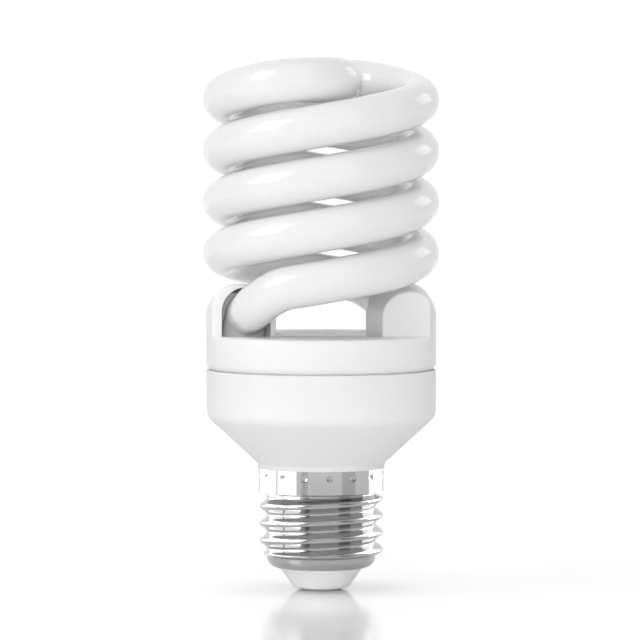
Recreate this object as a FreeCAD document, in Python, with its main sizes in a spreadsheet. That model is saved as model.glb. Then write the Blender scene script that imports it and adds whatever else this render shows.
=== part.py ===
import FreeCAD, Part

import math
import os

import Sketcher

Vector = FreeCAD.Vector
Rotation = FreeCAD.Rotation
Placement = FreeCAD.Placement

# Spiral energy saving bulb: a double-spiral glass tube on a two-piece plastic housing
# with its ballast inside and a screw cap below. Millimetres, +Z up along the lamp's axis,
# the origin at the middle of the contact plate's flat underside, the left hood's mouth
# facing -Y.

# Driving dimensions
SIZES = {
    # screw cap
    "contact_radius": 4.5,
    "contact_thickness": 0.9,
    "contact_dish": 0.25,
    "contact_edge": 0.6,
    "contact_stem_radius": 1.6,
    "contact_groove": 0.45,
    "insulator_setback": 0.4,
    "insulator_radius": 8.8,
    "insulator_foot_radius": 5.75,
    "insulator_height": 4.3,
    "insulator_round": 1.0,
    "insulator_plug_height": 1.8,
    "shell_wall": 0.3,
    "shell_lip_clearance": 0.1,
    "shoulder_radius": 2.4,
    "thread_radius": 13.15,
    "thread_depth": 1.55,
    "thread_pitch": 3.629,
    "thread_length": 13.4,
    "thread_fade": 0.9,
    "thread_land": 0.05,
    "thread_crest_height": 1.56,
    "skirt_radius": 13.35,
    "skirt_height": 4.9,
    "skirt_flare": 0.5,
    "fit_clearance": 0.1,
    # ballast housing
    "collar_radius": 13.5,
    "collar_height": 1.0,
    "cone_height": 10.0,
    "cone_round": 3.0,
    "housing_radius": 24.35,
    "barrel_height": 10.2,
    "housing_wall": 1.6,
    "board_ledge": 1.2,
    "neck_wall": 1.25,
    "neck_clearance": 0.3,
    "neck_end_gap": 1.8,
    "seam_gap": 0.6,
    "seam_depth": 0.45,
    # tube holder cover
    "cover_height": 7.0,
    "cover_floor": 1.6,
    "rim_round": 1.0,
    "spigot_height": 2.3,
    "spigot_wall": 0.9,
    "channel_depth": 0.75,
    "hood_length": 16.8,
    "hood_mouth_radius": 7.5,
    "hood_end_radius": 5.8,
    "hood_arch_height": 3.7,
    "hood_overhang": 0.05,
    "hood_wall": 1.0,
    "hood_end_wall": 1.3,
    "hood_edge_round": 0.6,
    "hood_shoulder_round": 3.0,
    "mouth_clearance": 0.6,
    "mouth_headroom": 0.7,
    "passage_clearance": 0.3,
    # glass tube
    "tube_diameter": 9.15,
    "spiral_overhang": 0.675,
    "strand_gap": 1.67,
    "arm_turn": 702.0,
    "leave_angle": 252.0,
    "spiral_start_height": 10.82,
    "bridge_height": 0.57,
    "leg_start_height": 5.7,
    "leg_slope": 12.0,
    "leg_run_length": 3.8,
    "leg_turn_radius": 8.0,
    "leg_end_gap": 1.7,
    "cement_wall": 1.8,
    "cement_height": 2.6,
    "cement_clearance": 0.05,
    "cement_edge": 0.45,
    # ballast
    "board_thickness": 1.6,
    "board_clearance": 0.25,
    "lead_diameter": 0.6,
    "wire_diameter": 1.2,
    "pin_width": 0.8,
    "pin_height": 3.4,
    "cathode_spacing": 2.5,
    "lead_embed": 0.8,
    "bobbin_wall": 0.6,
    "winding_clearance": 0.1,
    "fuse_height": 16.0,
    "layout_radius": 21.55,
}

# Sizes and places of the ballast's parts, drawn for a ledge bore of layout_radius
LAYOUT_SIZES = {
    "pin_offset": 10.0,
    "pin_spacing": 5.0,
    "choke_width": 12.5,
    "choke_height": 11.0,
    "choke_depth": 6.0,
    "choke_limb": 2.6,
    "choke_offset": 8.0,
    "bobbin_base": 1.0,
    "coil_build": 2.2,
    "can_radius": 5.0,
    "can_height": 18.0,
    "can_offset": 2.5,
    "can_lead_length": 10.0,
    "can_groove": 0.4,
    "can_bead_height": 1.6,
    "can_lead_spacing": 5.0,
    "film_length": 10.0,
    "film_width": 4.0,
    "film_height": 7.2,
    "film_offset_x": 11.2,
    "film_offset_y": 8.0,
    "film_edge": 0.8,
    "film_standoff": 0.6,
    "film_lead_spacing": 7.5,
    "filter_length": 7.0,
    "filter_width": 3.4,
    "filter_height": 6.5,
    "filter_offset": 13.5,
    "filter_lead_spacing": 5.0,
    "transistor_radius": 2.4,
    "transistor_flat": 1.3,
    "transistor_height": 4.6,
    "transistor_standoff": 2.0,
    "transistor_pitch": 1.27,
    "transistor_offset_x": 3.6,
    "transistor_offset_y": 13.5,
    "toroid_radius": 3.2,
    "toroid_section": 1.3,
    "toroid_offset": 14.0,
    "toroid_wire": 0.4,
    "diode_radius": 1.3,
    "diode_length": 4.8,
    "diode_span": 8.0,
    "diode_offset": 15.0,
    "diode_spacing": 3.4,
    "diode_row_gap": 0.9,
    "diac_radius": 0.9,
    "diac_length": 3.6,
    "diac_span": 6.5,
    "diac_offset": 10.3,
    "diac_gap": 2.7,
    "resistor_radius": 1.1,
    "resistor_waist": 0.9,
    "resistor_length": 5.6,
    "resistor_cap": 1.2,
    "resistor_span": 8.5,
    "resistor_offset": 11.0,
    "resistor_row_gap": 3.3,
    "drum_radius": 2.9,
    "drum_height": 6.0,
    "drum_flange": 0.9,
    "drum_waist": 2.3,
    "drum_gap": 1.45,
    "fuse_radius": 1.6,
    "fuse_length": 8.0,
    "fuse_offset": 6.2,
    "fuse_setback": 2.5,
    "live_end_x": 1.5,
    "live_end_y": 8.75,
}


class Size:
    """A length that knows both its number and the sheet formula it comes from."""

    def __init__(self, value, formula):
        self.value = float(value)
        self.formula = formula

    def __add__(self, other):
        other = as_size(other)
        return Size(self.value + other.value, f"({self.formula} + {other.formula})")

    def __sub__(self, other):
        other = as_size(other)
        return Size(self.value - other.value, f"({self.formula} - {other.formula})")

    def __mul__(self, other):
        other = as_size(other)
        return Size(self.value * other.value, f"({self.formula} * {other.formula})")

    def __truediv__(self, other):
        other = as_size(other)
        return Size(self.value / other.value, f"({self.formula} / {other.formula})")

    def __neg__(self):
        return Size(-self.value, f"(-1 * {self.formula})")


def as_size(number):
    """Give a plain number the same form as a size of the sheet."""
    if isinstance(number, Size):
        return number
    return Size(number, repr(float(number)))


def square_root(size):
    return Size(math.sqrt(size.value), f"sqrt({size.formula})")


def write_sheet(doc):
    """Write the driving dimensions to the sheet and return them as sizes by name."""
    sheet = doc.addObject("Spreadsheet::Sheet", "Sizes")
    sizes = {}
    for row, (alias, value) in enumerate({**SIZES, **LAYOUT_SIZES}.items(), start=1):
        sheet.set(f"A{row}", alias)
        sheet.set(f"B{row}", str(value))
        sheet.setAlias(f"B{row}", alias)
        sizes[alias] = Size(value, f"Sizes.{alias}")
    doc.recompute()
    return sizes


doc = FreeCAD.newDocument("spiral_bulb")
S = write_sheet(doc)
ZERO = as_size(0)

# Heights and radii that several pieces share
lip_z = S["insulator_setback"] + S["insulator_height"]
thread_bottom_z = lip_z + S["shoulder_radius"]
thread_top_z = thread_bottom_z + S["thread_length"]
skirt_bottom_z = thread_top_z + S["skirt_flare"]
cap_top_z = skirt_bottom_z + S["skirt_height"]
root_radius = S["thread_radius"] - S["thread_depth"]
collar_top_z = cap_top_z + S["collar_height"]
barrel_bottom_z = collar_top_z + S["cone_height"]
seat_z = barrel_bottom_z + S["barrel_height"]
board_top_z = seat_z - S["spigot_height"]
board_bottom_z = board_top_z - S["board_thickness"]
cover_top_z = seat_z + S["cover_height"]
channel_z = cover_top_z - S["channel_depth"]
barrel_bore = S["housing_radius"] - S["housing_wall"]
ledge_bore = barrel_bore - S["board_ledge"]
neck_radius = root_radius - S["shell_wall"] - S["neck_clearance"]
neck_bore = neck_radius - S["neck_wall"]
tube_radius = S["tube_diameter"] / 2
spiral_radius = S["housing_radius"] + S["spiral_overhang"] - tube_radius
spigot_outside = barrel_bore - S["fit_clearance"]
spigot_bore = spigot_outside - S["spigot_wall"]
collar_room = spigot_bore - S["fit_clearance"]
leg_reach = collar_room - S["cement_edge"] - S["cement_clearance"] - tube_radius
leg_end_z = board_top_z + S["leg_end_gap"]


def bind(item, formulas):
    """Tie properties of a document object to sizes of the sheet."""
    for name, size in formulas.items():
        item.setExpression(name, as_size(size).formula)


def arc_centre(start, end, radius):
    """Centre of the arc from start to end; a positive radius turns anticlockwise."""
    chord = end - start
    half = chord.Length / 2
    height = math.sqrt(max(radius * radius - half * half, 0.0))
    normal = Vector(-chord.y, chord.x, 0).normalize()
    side = 1 if radius > 0 else -1
    return start + chord * 0.5 + normal * (height * side)


def add_outline(sketch, outline):
    """Draw a closed outline in a sketch, every corner and radius tied to the sheet.

    Each corner is (across, up) or (across, up, radius), where the radius is that of the
    arc which arrives at the corner, positive when it turns anticlockwise.
    """
    corners = [(as_size(corner[0]), as_size(corner[1])) for corner in outline]
    places = [Vector(across.value, up.value, 0) for across, up in corners]
    count = len(outline)
    ends = []
    for index in range(count):
        start = places[index - 1]
        end = places[index]
        if len(outline[index]) == 2:
            sketch.addGeometry(Part.LineSegment(start, end))
            ends.append((1, 2))
            continue
        radius = as_size(outline[index][2])
        centre = arc_centre(start, end, radius.value)
        circle = Part.Circle(centre, Vector(0, 0, 1), abs(radius.value))
        first, last = (start, end) if radius.value > 0 else (end, start)
        angles = [math.atan2(p.y - centre.y, p.x - centre.x) for p in (first, last)]
        sketch.addGeometry(Part.ArcOfCircle(circle, angles[0], angles[1]))
        ends.append((1, 2) if radius.value > 0 else (2, 1))
        tie = sketch.addConstraint(Sketcher.Constraint("Radius", index, abs(radius.value)))
        size = radius if radius.value > 0 else -radius
        sketch.setExpression(f"Constraints[{tie}]", size.formula)
    for index in range(count):
        following = (index + 1) % count
        sketch.addConstraint(
            Sketcher.Constraint("Coincident", index, ends[index][1], following, ends[following][0]))
        across, up = corners[index]
        for size, kind, axis in ((across, "DistanceX", -2), (up, "DistanceY", -1)):
            if size.value == 0:
                sketch.addConstraint(Sketcher.Constraint("PointOnObject", index, ends[index][1], axis))
                continue
            tie = sketch.addConstraint(Sketcher.Constraint(kind, index, ends[index][1], size.value))
            sketch.setExpression(f"Constraints[{tie}]", size.formula)


def origin_feature(body, role):
    return next(item for item in body.Origin.OriginFeatures if item.Role == role)


def body_sketch(body, name, plane, outline, height=ZERO):
    """A sketch on one of the body's own planes, at a height along that plane's normal."""
    sketch = body.newObject("Sketcher::SketchObject", name)
    sketch.AttachmentSupport = [(origin_feature(body, plane), "")]
    sketch.MapMode = "FlatFace"
    add_outline(sketch, outline)
    bind(sketch, {"AttachmentOffset.Base.z": height})
    return sketch


def revolved(name, outline):
    """A body turned about the lamp's axis from an outline of (radius, height) corners."""
    body = doc.addObject("PartDesign::Body", name)
    sketch = body_sketch(body, f"{name}_profile", "XZ_Plane", outline)
    turn = body.newObject("PartDesign::Revolution", f"{name}_turn")
    turn.Profile = sketch
    turn.ReferenceAxis = (sketch, ["V_Axis"])
    turn.Angle = 360
    return body


def padded(name, outline, bottom, height):
    """A body padded upwards from an outline drawn in plan."""
    body = doc.addObject("PartDesign::Body", name)
    sketch = body_sketch(body, f"{name}_plan", "XY_Plane", outline, bottom)
    pad = body.newObject("PartDesign::Pad", f"{name}_pad")
    pad.Profile = sketch
    bind(pad, {"Length": height})
    return body


def place(item, across, along, up):
    bind(item, {"Placement.Base.x": across, "Placement.Base.y": along, "Placement.Base.z": up})


def cylinder(name, radius, height, across, along, bottom):
    item = doc.addObject("Part::Cylinder", name)
    bind(item, {"Radius": radius, "Height": height})
    place(item, across, along, bottom)
    return item


def block(name, length, width, height, across, along, bottom):
    """A box centred on (across, along) and standing on bottom."""
    item = doc.addObject("Part::Box", name)
    bind(item, {"Length": length, "Width": width, "Height": height})
    place(item, as_size(across) - length / 2, as_size(along) - width / 2, bottom)
    return item


def fused(name, items):
    item = doc.addObject("Part::MultiFuse", name)
    item.Shapes = items
    return item


def cut(name, base, tool):
    item = doc.addObject("Part::Cut", name)
    item.Base = base
    item.Tool = tool
    return item


def group(name, items):
    item = doc.addObject("Part::Compound", name)
    item.Links = items
    return item


def half_turned(name, item):
    """A copy of an item, half a turn about the lamp's axis from it."""
    copy = group(name, [item])
    copy.Placement = Placement(Vector(), Rotation(Vector(0, 0, 1), 180))
    return copy


def solid(name, shape):
    item = doc.addObject("Part::Feature", name)
    item.Shape = shape
    return item


# Round bars along a path of straight runs and tangent arcs

SMALL_ANGLE = 1e-6
CORNER_SHARE = 0.45


def arc_step(start, heading, end):
    """The arc that leaves start along heading and reaches end, or a straight step."""
    chord = end - start
    if heading.getAngle(chord) < SMALL_ANGLE:
        return ("line", chord)
    axis = heading.cross(chord).normalize()
    inward = axis.cross(heading)
    radius = chord.dot(chord) / (2 * chord.dot(inward))
    return ("arc", start + inward * radius, axis, 2 * math.degrees(heading.getAngle(chord)))


def biarc_steps(start, start_heading, end, end_heading):
    """Two tangent arcs that join two points and keep the headings at both."""
    chord = end - start
    headings = start_heading + end_heading
    spread = 2 * (1 - start_heading.dot(end_heading))
    along = chord.dot(headings)
    if spread < SMALL_ANGLE:
        reach = chord.dot(chord) / (4 * chord.dot(end_heading))
    else:
        reach = (math.sqrt(along * along + spread * chord.dot(chord)) - along) / spread
    joint = (start + end + (start_heading - end_heading) * reach) * 0.5
    first = arc_step(start, start_heading, joint)
    back = arc_step(end, -end_heading, joint)
    if back[0] == "line":
        return [first, ("line", end - joint)]
    return [first, ("arc", back[1], -back[2], back[3])]


def bar(start, heading, radius, steps):
    """A round bar that starts at a point along a heading and follows the steps."""
    edge = Part.Circle(start, heading, radius).toShape()
    faces = [Part.Face(Part.Wire(edge))]
    for step in steps:
        if step[0] == "line":
            faces.append(edge.extrude(step[1]))
            edge = edge.translated(step[1])
        else:
            faces.append(edge.revolve(step[1], step[2], step[3]))
            edge = edge.rotated(step[1], step[2], step[3])
    faces.append(Part.Face(Part.Wire(edge)))
    shell = Part.makeShell(faces)
    shell.sewShape()
    bar_solid = Part.makeSolid(shell)
    if bar_solid.Volume < 0:
        bar_solid.reverse()
    return bar_solid


def wire(points, diameter):
    """A wire through corner points, each corner as round as its shorter run allows."""
    steps = []
    place_now = points[0]
    heading_now = (points[1] - points[0]).normalize()
    for before, corner, after in zip(points, points[1:], points[2:]):
        heading_next = (after - corner).normalize()
        turn = heading_now.getAngle(heading_next)
        trim = CORNER_SHARE * min((corner - before).Length, (after - corner).Length)
        arc_start = corner - heading_now * trim
        arc_end = corner + heading_next * trim
        if turn < SMALL_ANGLE:
            continue
        steps.append(("line", arc_start - place_now))
        steps.append(arc_step(arc_start, heading_now, arc_end))
        place_now = arc_end
        heading_now = heading_next
    steps.append(("line", points[-1] - place_now))
    return bar(points[0], (points[1] - points[0]).normalize(), diameter / 2, steps)


# Glass tube: two spiral arms, an S-shaped bridge over the top and two legs

def value(name):
    return S[name].value


arm_pitch = 2 * (value("tube_diameter") + value("strand_gap"))
leave_z = cover_top_z.value + value("spiral_start_height")
arm_top_angle = value("leave_angle") + value("arm_turn")
arm_top_z = leave_z + arm_pitch * value("arm_turn") / 360
ARM_STEP = 60
BRIDGE_STEPS = 4
BEND_STEPS = 2


def unit(across, along, up):
    return Vector(across, along, up).normalize()


def arm_node(angle):
    """Place and heading on an arm of the spiral, climbing."""
    turn = math.radians(angle)
    radius = spiral_radius.value
    up = leave_z + arm_pitch * (angle - value("leave_angle")) / 360
    climb = arm_pitch / (2 * math.pi)
    spot = Vector(radius * math.cos(turn), radius * math.sin(turn), up)
    return spot, unit(-radius * math.sin(turn), radius * math.cos(turn), climb)


def bridge_node(share):
    """Place and heading on the first half of the bridge, share 0 at the arm, 1 at the axis."""
    radius = spiral_radius.value / 2
    start = math.radians(arm_top_angle)
    outward = Vector(math.cos(start), math.sin(start), 0)
    onward = Vector(-math.sin(start), math.cos(start), 0)
    length = math.pi * radius
    first_rise = arm_pitch / (2 * math.pi * spiral_radius.value) * length
    left = 1 - share
    cubic = first_rise - 2 * value("bridge_height")
    square = value("bridge_height") - cubic
    up = arm_top_z + value("bridge_height") - square * left ** 2 - cubic * left ** 3
    slope = (2 * square * left + 3 * cubic * left ** 2) / length
    turn = math.pi * share
    spot = outward * (radius + radius * math.cos(turn)) + onward * (radius * math.sin(turn))
    heading = onward * math.cos(turn) - outward * math.sin(turn)
    return spot + Vector(0, 0, up), unit(heading.x, heading.y, slope)


def hood_slant():
    """Angle at which a hood's inner wall, and the leg inside it, turns outwards."""
    taper = 2 * (value("hood_mouth_radius") - value("hood_end_radius"))
    return math.atan(taper / value("hood_length"))


def leg_bend_radius():
    """Bend that brings the leg's end to its place beside the cover's spigot."""
    leave = math.radians(value("leave_angle"))
    slope = math.radians(value("leg_slope"))
    onward = value("leg_run_length") * math.cos(slope) + value("leg_turn_radius") * (1 - math.sin(slope))
    bend_end = leg_reach.value - onward * math.sin(hood_slant())
    start = spiral_radius.value * math.cos(leave)
    return (start + bend_end) / (math.cos(leave) + math.cos(hood_slant()))


def leg_bend_node(share):
    """Place and heading on the bend from the arm to the leg, going down."""
    bend = leg_bend_radius()
    leave = math.radians(value("leave_angle"))
    turn = leave - math.pi - hood_slant()
    length = turn * bend
    centre = Vector(math.cos(leave), math.sin(leave), 0) * (spiral_radius.value - bend)
    angle = leave - turn * share
    first_slope = arm_pitch / (2 * math.pi * spiral_radius.value) * length
    last_slope = math.tan(math.radians(value("leg_slope"))) * length
    drop = value("spiral_start_height") - value("leg_start_height")
    square = 3 * drop - 2 * first_slope - last_slope
    cubic = first_slope + last_slope - 2 * drop
    up = leave_z - (first_slope * share + square * share ** 2 + cubic * share ** 3)
    slope = (first_slope + 2 * square * share + 3 * cubic * share ** 2) / length
    spot = centre + Vector(math.cos(angle), math.sin(angle), 0) * bend
    return spot + Vector(0, 0, up), unit(math.sin(angle), -math.cos(angle), -slope)


def leg_steps():
    """Straight run, turn downwards and straight end of a leg, from the end of its bend."""
    spot, heading = leg_bend_node(1.0)
    run = heading * value("leg_run_length")
    turn_start = spot + run
    level = unit(heading.x, heading.y, 0)
    axis = Vector(-level.y, level.x, 0)
    centre = turn_start + axis.cross(heading) * value("leg_turn_radius")
    turn = 90 - value("leg_slope")
    last = centre + level * value("leg_turn_radius")
    steps = [("line", run), ("arc", centre, axis, turn)]
    steps.append(("line", Vector(0, 0, leg_end_z.value - last.z)))
    return steps, last


def reversed_steps(steps):
    """The same path walked from its other end."""
    back = []
    for step in reversed(steps):
        if step[0] == "line":
            back.append(("line", -step[1]))
        else:
            back.append(("arc", step[1], -step[2], step[3]))
    return back


def turned_steps(steps):
    """The path turned half a turn about the lamp's axis."""
    half_turn = Rotation(Vector(0, 0, 1), 180)
    turned = []
    for step in steps:
        if step[0] == "line":
            turned.append(("line", half_turn.multVec(step[1])))
        else:
            turned.append(("arc", half_turn.multVec(step[1]), half_turn.multVec(step[2]), step[3]))
    return turned


def join_nodes(nodes):
    steps = []
    for (start, start_heading), (end, end_heading) in zip(nodes, nodes[1:]):
        steps.extend(biarc_steps(start, start_heading, end, end_heading))
    return steps


def bend_nodes():
    return [leg_bend_node(index / BEND_STEPS) for index in range(BEND_STEPS + 1)]


def half_tube_steps():
    """From the end of one leg up its arm and over the bridge to the axis."""
    leg, last = leg_steps()
    steps = reversed_steps(join_nodes(bend_nodes()) + leg)
    arm_count = round(value("arm_turn") / ARM_STEP)
    arm = [arm_node(value("leave_angle") + value("arm_turn") * index / arm_count)
           for index in range(arm_count + 1)]
    bridge = [bridge_node(index / BRIDGE_STEPS) for index in range(BRIDGE_STEPS + 1)]
    return steps + join_nodes(arm) + join_nodes(bridge), last


def leg_passage(radius):
    """A leg alone, from the bend to its end, as the room that it needs in the cover."""
    leg, last = leg_steps()
    steps = join_nodes(bend_nodes()) + leg
    spot, heading = leg_bend_node(0.0)
    return bar(spot, heading, radius, steps)


half_steps, leg_axis = half_tube_steps()
leg_foot = Vector(leg_axis.x, leg_axis.y, leg_end_z.value)
tube_steps = half_steps + turned_steps(reversed_steps(half_steps))
discharge_tube = solid("discharge_tube", bar(leg_foot, Vector(0, 0, 1), tube_radius.value, tube_steps))


# Tube holder cover: a cup with a recessed channel and two tapered hoods

def arch(centre, radius, springing, bottom):
    """A door-shaped outline: straight sides up to the springing and a half-round top."""
    return [
        (centre - radius, bottom),
        (centre + radius, bottom),
        (centre + radius, springing),
        (centre, springing + radius, radius),
        (centre - radius, springing, radius),
    ]


def upright_sketch(name, outline, along):
    """An upright sketch across the hood at a place along it."""
    sketch = doc.addObject("Sketcher::SketchObject", name)
    add_outline(sketch, outline)
    sketch.Placement = Placement(Vector(), Rotation(Vector(1, 0, 0), 90))
    bind(sketch, {"Placement.Base.y": along})
    return sketch


def loft(name, sections):
    item = doc.addObject("Part::Loft", name)
    item.Sections = sections
    item.Solid = True
    item.Ruled = True
    return item


hood_back = S["housing_radius"] + S["hood_overhang"]
hood_half = S["hood_length"] / 2
hood_springing = cover_top_z + S["hood_arch_height"]
hood_root_z = channel_z - S["cover_floor"]
cavity_mouth_radius = tube_radius + S["mouth_clearance"]
cavity_mouth_centre = hood_back - S["hood_mouth_radius"] * 2 + S["hood_wall"] + cavity_mouth_radius
cavity_end_radius = S["hood_end_radius"] - S["hood_end_wall"]
cavity_end_centre = hood_back - S["hood_end_radius"] * 2 + S["hood_wall"] + cavity_end_radius
cavity_springing = hood_springing + S["hood_mouth_radius"] - S["mouth_headroom"] - cavity_mouth_radius
cavity_end_springing = hood_springing + S["hood_end_radius"] - S["hood_wall"] - cavity_end_radius
CUT_MARGIN = as_size(1)


def rounded(name, base, radius, chosen):
    """The base with a round of one radius on every edge that the chooser accepts."""
    doc.recompute()
    item = doc.addObject("Part::Fillet", name)
    item.Base = base
    item.Edges = [(index, radius.value, radius.value)
                  for index, edge in enumerate(base.Shape.Edges, start=1) if chosen(edge.BoundBox)]
    return item


def is_hood_shoulder(box):
    """True for the edge where a hood's vault runs into the round of the housing."""
    reach = max(abs(box.XMin), abs(box.XMax))
    above = box.ZMin > cover_top_z.value
    return above and box.YLength > hood_half.value and reach > value("housing_radius") - value("rim_round")


def is_hood_end(box):
    """True for an edge of a hood's mouth or of its closed end, down to the cover's top."""
    flat = box.YLength < value("hood_edge_round")
    end = abs(abs(box.Center.y) - hood_half.value) < value("hood_edge_round")
    return flat and end and box.ZMax > cover_top_z.value


def left_hood():
    """A tapered vault, trimmed to the round of the housing and hollowed from its mouth."""
    mouth = arch(-(hood_back - S["hood_mouth_radius"]), S["hood_mouth_radius"], hood_springing, hood_root_z)
    end = arch(-(hood_back - S["hood_end_radius"]), S["hood_end_radius"], hood_springing, hood_root_z)
    vault = loft("hood_vault", [
        upright_sketch("hood_mouth", mouth, -hood_half),
        upright_sketch("hood_end", end, hood_half),
    ])
    trimmed = doc.addObject("Part::Common", "hood_block")
    trimmed.Base = vault
    height = hood_springing + S["hood_mouth_radius"] + CUT_MARGIN - hood_root_z
    trimmed.Tool = cylinder("hood_round", S["housing_radius"], height, 0, 0, hood_root_z)
    soft = rounded("hood_soft", trimmed, S["hood_shoulder_round"], is_hood_shoulder)
    smooth = rounded("hood_smooth", soft, S["hood_edge_round"], is_hood_end)
    inner_mouth = arch(-cavity_mouth_centre, cavity_mouth_radius, cavity_springing, channel_z)
    inner_end = arch(-cavity_end_centre, cavity_end_radius, cavity_end_springing, channel_z)
    cavity = loft("hood_cavity", [
        upright_sketch("cavity_mouth", inner_mouth, -hood_half - CUT_MARGIN),
        upright_sketch("cavity_end", inner_end, hood_half - S["hood_wall"]),
    ])
    return cut("left_hood", smooth, cavity)


def cover_cup():
    """The cover's round cup: wall, floor, spigot and the shadow gap at the seam."""
    outside = S["housing_radius"]
    return revolved("cover_cup", [
        (ZERO, hood_root_z),
        (spigot_bore, hood_root_z),
        (spigot_bore, board_top_z),
        (spigot_outside, board_top_z),
        (spigot_outside, seat_z),
        (outside - S["seam_depth"], seat_z),
        (outside - S["seam_depth"], seat_z + S["seam_gap"]),
        (outside, seat_z + S["seam_gap"]),
        (outside, cover_top_z - S["rim_round"]),
        (outside - S["rim_round"], cover_top_z, S["rim_round"]),
        (ZERO, cover_top_z),
    ])


def tube_holder_cover():
    channel = block("cover_channel", S["housing_radius"] * 2, S["hood_length"], S["channel_depth"],
                    0, 0, channel_z)
    tray = cut("cover_tray", cover_cup(), channel)
    left = left_hood()
    hooded = fused("cover_hooded", [tray, left, half_turned("right_hood", left)])
    passage = solid("left_passage", leg_passage(tube_radius.value + value("passage_clearance")))
    passages = group("cover_passages", [passage, half_turned("right_passage", passage)])
    whole = cut("tube_holder_cover", hooded, passages)
    # merging the rounds with the faces beside them would spoil the solid
    hooded.Refine = False
    whole.Refine = False
    return whole


cover = tube_holder_cover()


# Cement collars that hold the legs under the cover's floor

def cement_collars():
    bottom = hood_root_z - S["cement_height"]
    inside = doc.addObject("Part::Common", "collar_block")
    inside.Base = cylinder("collar_ring", tube_radius + S["cement_wall"], S["cement_height"],
                           leg_axis.x, leg_axis.y, bottom)
    inside.Tool = cylinder("collar_room_core", collar_room, S["cement_height"], 0, 0, bottom)
    leg = solid("collar_leg", leg_passage(tube_radius.value + value("cement_clearance")))
    collar = cut("left_collar", inside, leg)
    return group("tube_cement", [collar, half_turned("right_collar", collar)])


cement = cement_collars()


# Ballast housing: barrel, cone, collar and a neck that goes down inside the screw shell

def ballast_housing():
    cone_run = S["housing_radius"] - S["collar_radius"]
    cone_rise = S["cone_height"]
    cone_side = square_root(cone_run * cone_run + cone_rise * cone_rise)
    trim = S["cone_round"] * cone_run / (cone_side + cone_rise)
    wall_rise = S["housing_wall"] * cone_side / cone_run
    lean = cone_rise / cone_run
    neck_end_z = thread_bottom_z + S["neck_end_gap"]
    shoulder_z = skirt_bottom_z + S["shell_wall"]
    skirt_fit = S["skirt_radius"] - S["shell_wall"] - S["fit_clearance"]
    return revolved("ballast_housing", [
        (neck_bore, neck_end_z),
        (neck_radius, neck_end_z),
        (neck_radius, shoulder_z),
        (skirt_fit, shoulder_z),
        (skirt_fit, cap_top_z),
        (S["collar_radius"], cap_top_z),
        (S["collar_radius"], collar_top_z),
        (S["housing_radius"] - trim * cone_run / cone_side, barrel_bottom_z - trim * cone_rise / cone_side),
        (S["housing_radius"], barrel_bottom_z + trim, S["cone_round"]),
        (S["housing_radius"], seat_z),
        (barrel_bore, seat_z),
        (barrel_bore, board_bottom_z),
        (ledge_bore, board_bottom_z),
        (ledge_bore, barrel_bottom_z - (S["housing_radius"] - ledge_bore) * lean + wall_rise),
        (neck_bore, barrel_bottom_z - (S["housing_radius"] - neck_bore) * lean + wall_rise),
    ])


housing = ballast_housing()


# Screw shell: rolled sheet with a right-hand round thread that fades out at both ends

THREAD_ROWS_PER_TURN = 12
THREAD_COLUMNS = 24
SEWING_TOLERANCE = 1e-4
FLAT = 1e-6
shoulder_centre = root_radius - S["thread_land"] - S["shoulder_radius"]
lip_radius = S["insulator_radius"] + S["shell_lip_clearance"]


def smooth_step(share):
    share = min(max(share, 0.0), 1.0)
    return share * share * (3 - 2 * share)


def thread_radius_at(up, angle):
    """Outer radius of the threaded sheet at a height and an angle about the axis."""
    turns = (up - thread_bottom_z.value - value("thread_crest_height")) / value("thread_pitch")
    wave = (1 + math.cos(2 * math.pi * (turns - angle / 360))) / 2
    from_bottom = smooth_step((up - thread_bottom_z.value) / value("thread_fade"))
    from_top = smooth_step((thread_top_z.value - up) / value("thread_fade"))
    return root_radius.value + value("thread_depth") * wave * from_bottom * from_top


def thread_face(inset):
    """One side of the threaded band, interpolated through points on the thread."""
    count = round(value("thread_length") / value("thread_pitch") * THREAD_ROWS_PER_TURN)
    grid = []
    for row in range(count + 1):
        up = thread_bottom_z.value + value("thread_length") * row / count
        line = []
        for column in range(THREAD_COLUMNS + 1):
            angle = 360 * column / THREAD_COLUMNS
            radius = thread_radius_at(up, angle) - inset
            turn = math.radians(angle)
            line.append(Vector(radius * math.cos(turn), radius * math.sin(turn), up))
        grid.append(line)
    surface = Part.BSplineSurface()
    surface.interpolate(grid)
    return surface.toShape()


def profile_point(across, up):
    return Vector(as_size(across).value, 0, as_size(up).value)


def turned_faces(edges):
    """Faces turned about the lamp's axis from joined edges of a profile."""
    return Part.Wire(edges).revolve(Vector(), Vector(0, 0, 1), 360).Faces


def line(start, end):
    return Part.makeLine(start, end)


def shoulder_edge(inset):
    """Quarter-round under the thread, from the lip to the foot of the thread."""
    reach = S["shoulder_radius"] - inset
    middle = reach * math.sqrt(0.5)
    return Part.Arc(profile_point(shoulder_centre, thread_bottom_z - reach),
                    profile_point(shoulder_centre + middle, thread_bottom_z - middle),
                    profile_point(shoulder_centre + reach, thread_bottom_z)).toShape()


def bottom_faces():
    """Shoulder and lip of the shell, inside and outside."""
    wall = S["shell_wall"]
    inner_lip = profile_point(lip_radius, lip_z + wall)
    outer_lip = profile_point(lip_radius, lip_z)
    return turned_faces([
        shoulder_edge(wall),
        line(profile_point(shoulder_centre, lip_z + wall), inner_lip),
        line(inner_lip, outer_lip),
        line(outer_lip, profile_point(shoulder_centre, lip_z)),
        shoulder_edge(ZERO),
    ])


def skirt_faces():
    """Step out from the thread and the plain band above it, inside and outside."""
    wall = S["shell_wall"]
    foot = root_radius + S["thread_land"]
    corners = [
        profile_point(foot, thread_top_z),
        profile_point(S["skirt_radius"], skirt_bottom_z),
        profile_point(S["skirt_radius"], cap_top_z),
        profile_point(S["skirt_radius"] - wall, cap_top_z),
        profile_point(S["skirt_radius"] - wall, skirt_bottom_z),
        profile_point(foot - wall, thread_top_z),
    ]
    return turned_faces([line(start, end) for start, end in zip(corners, corners[1:])])


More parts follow.
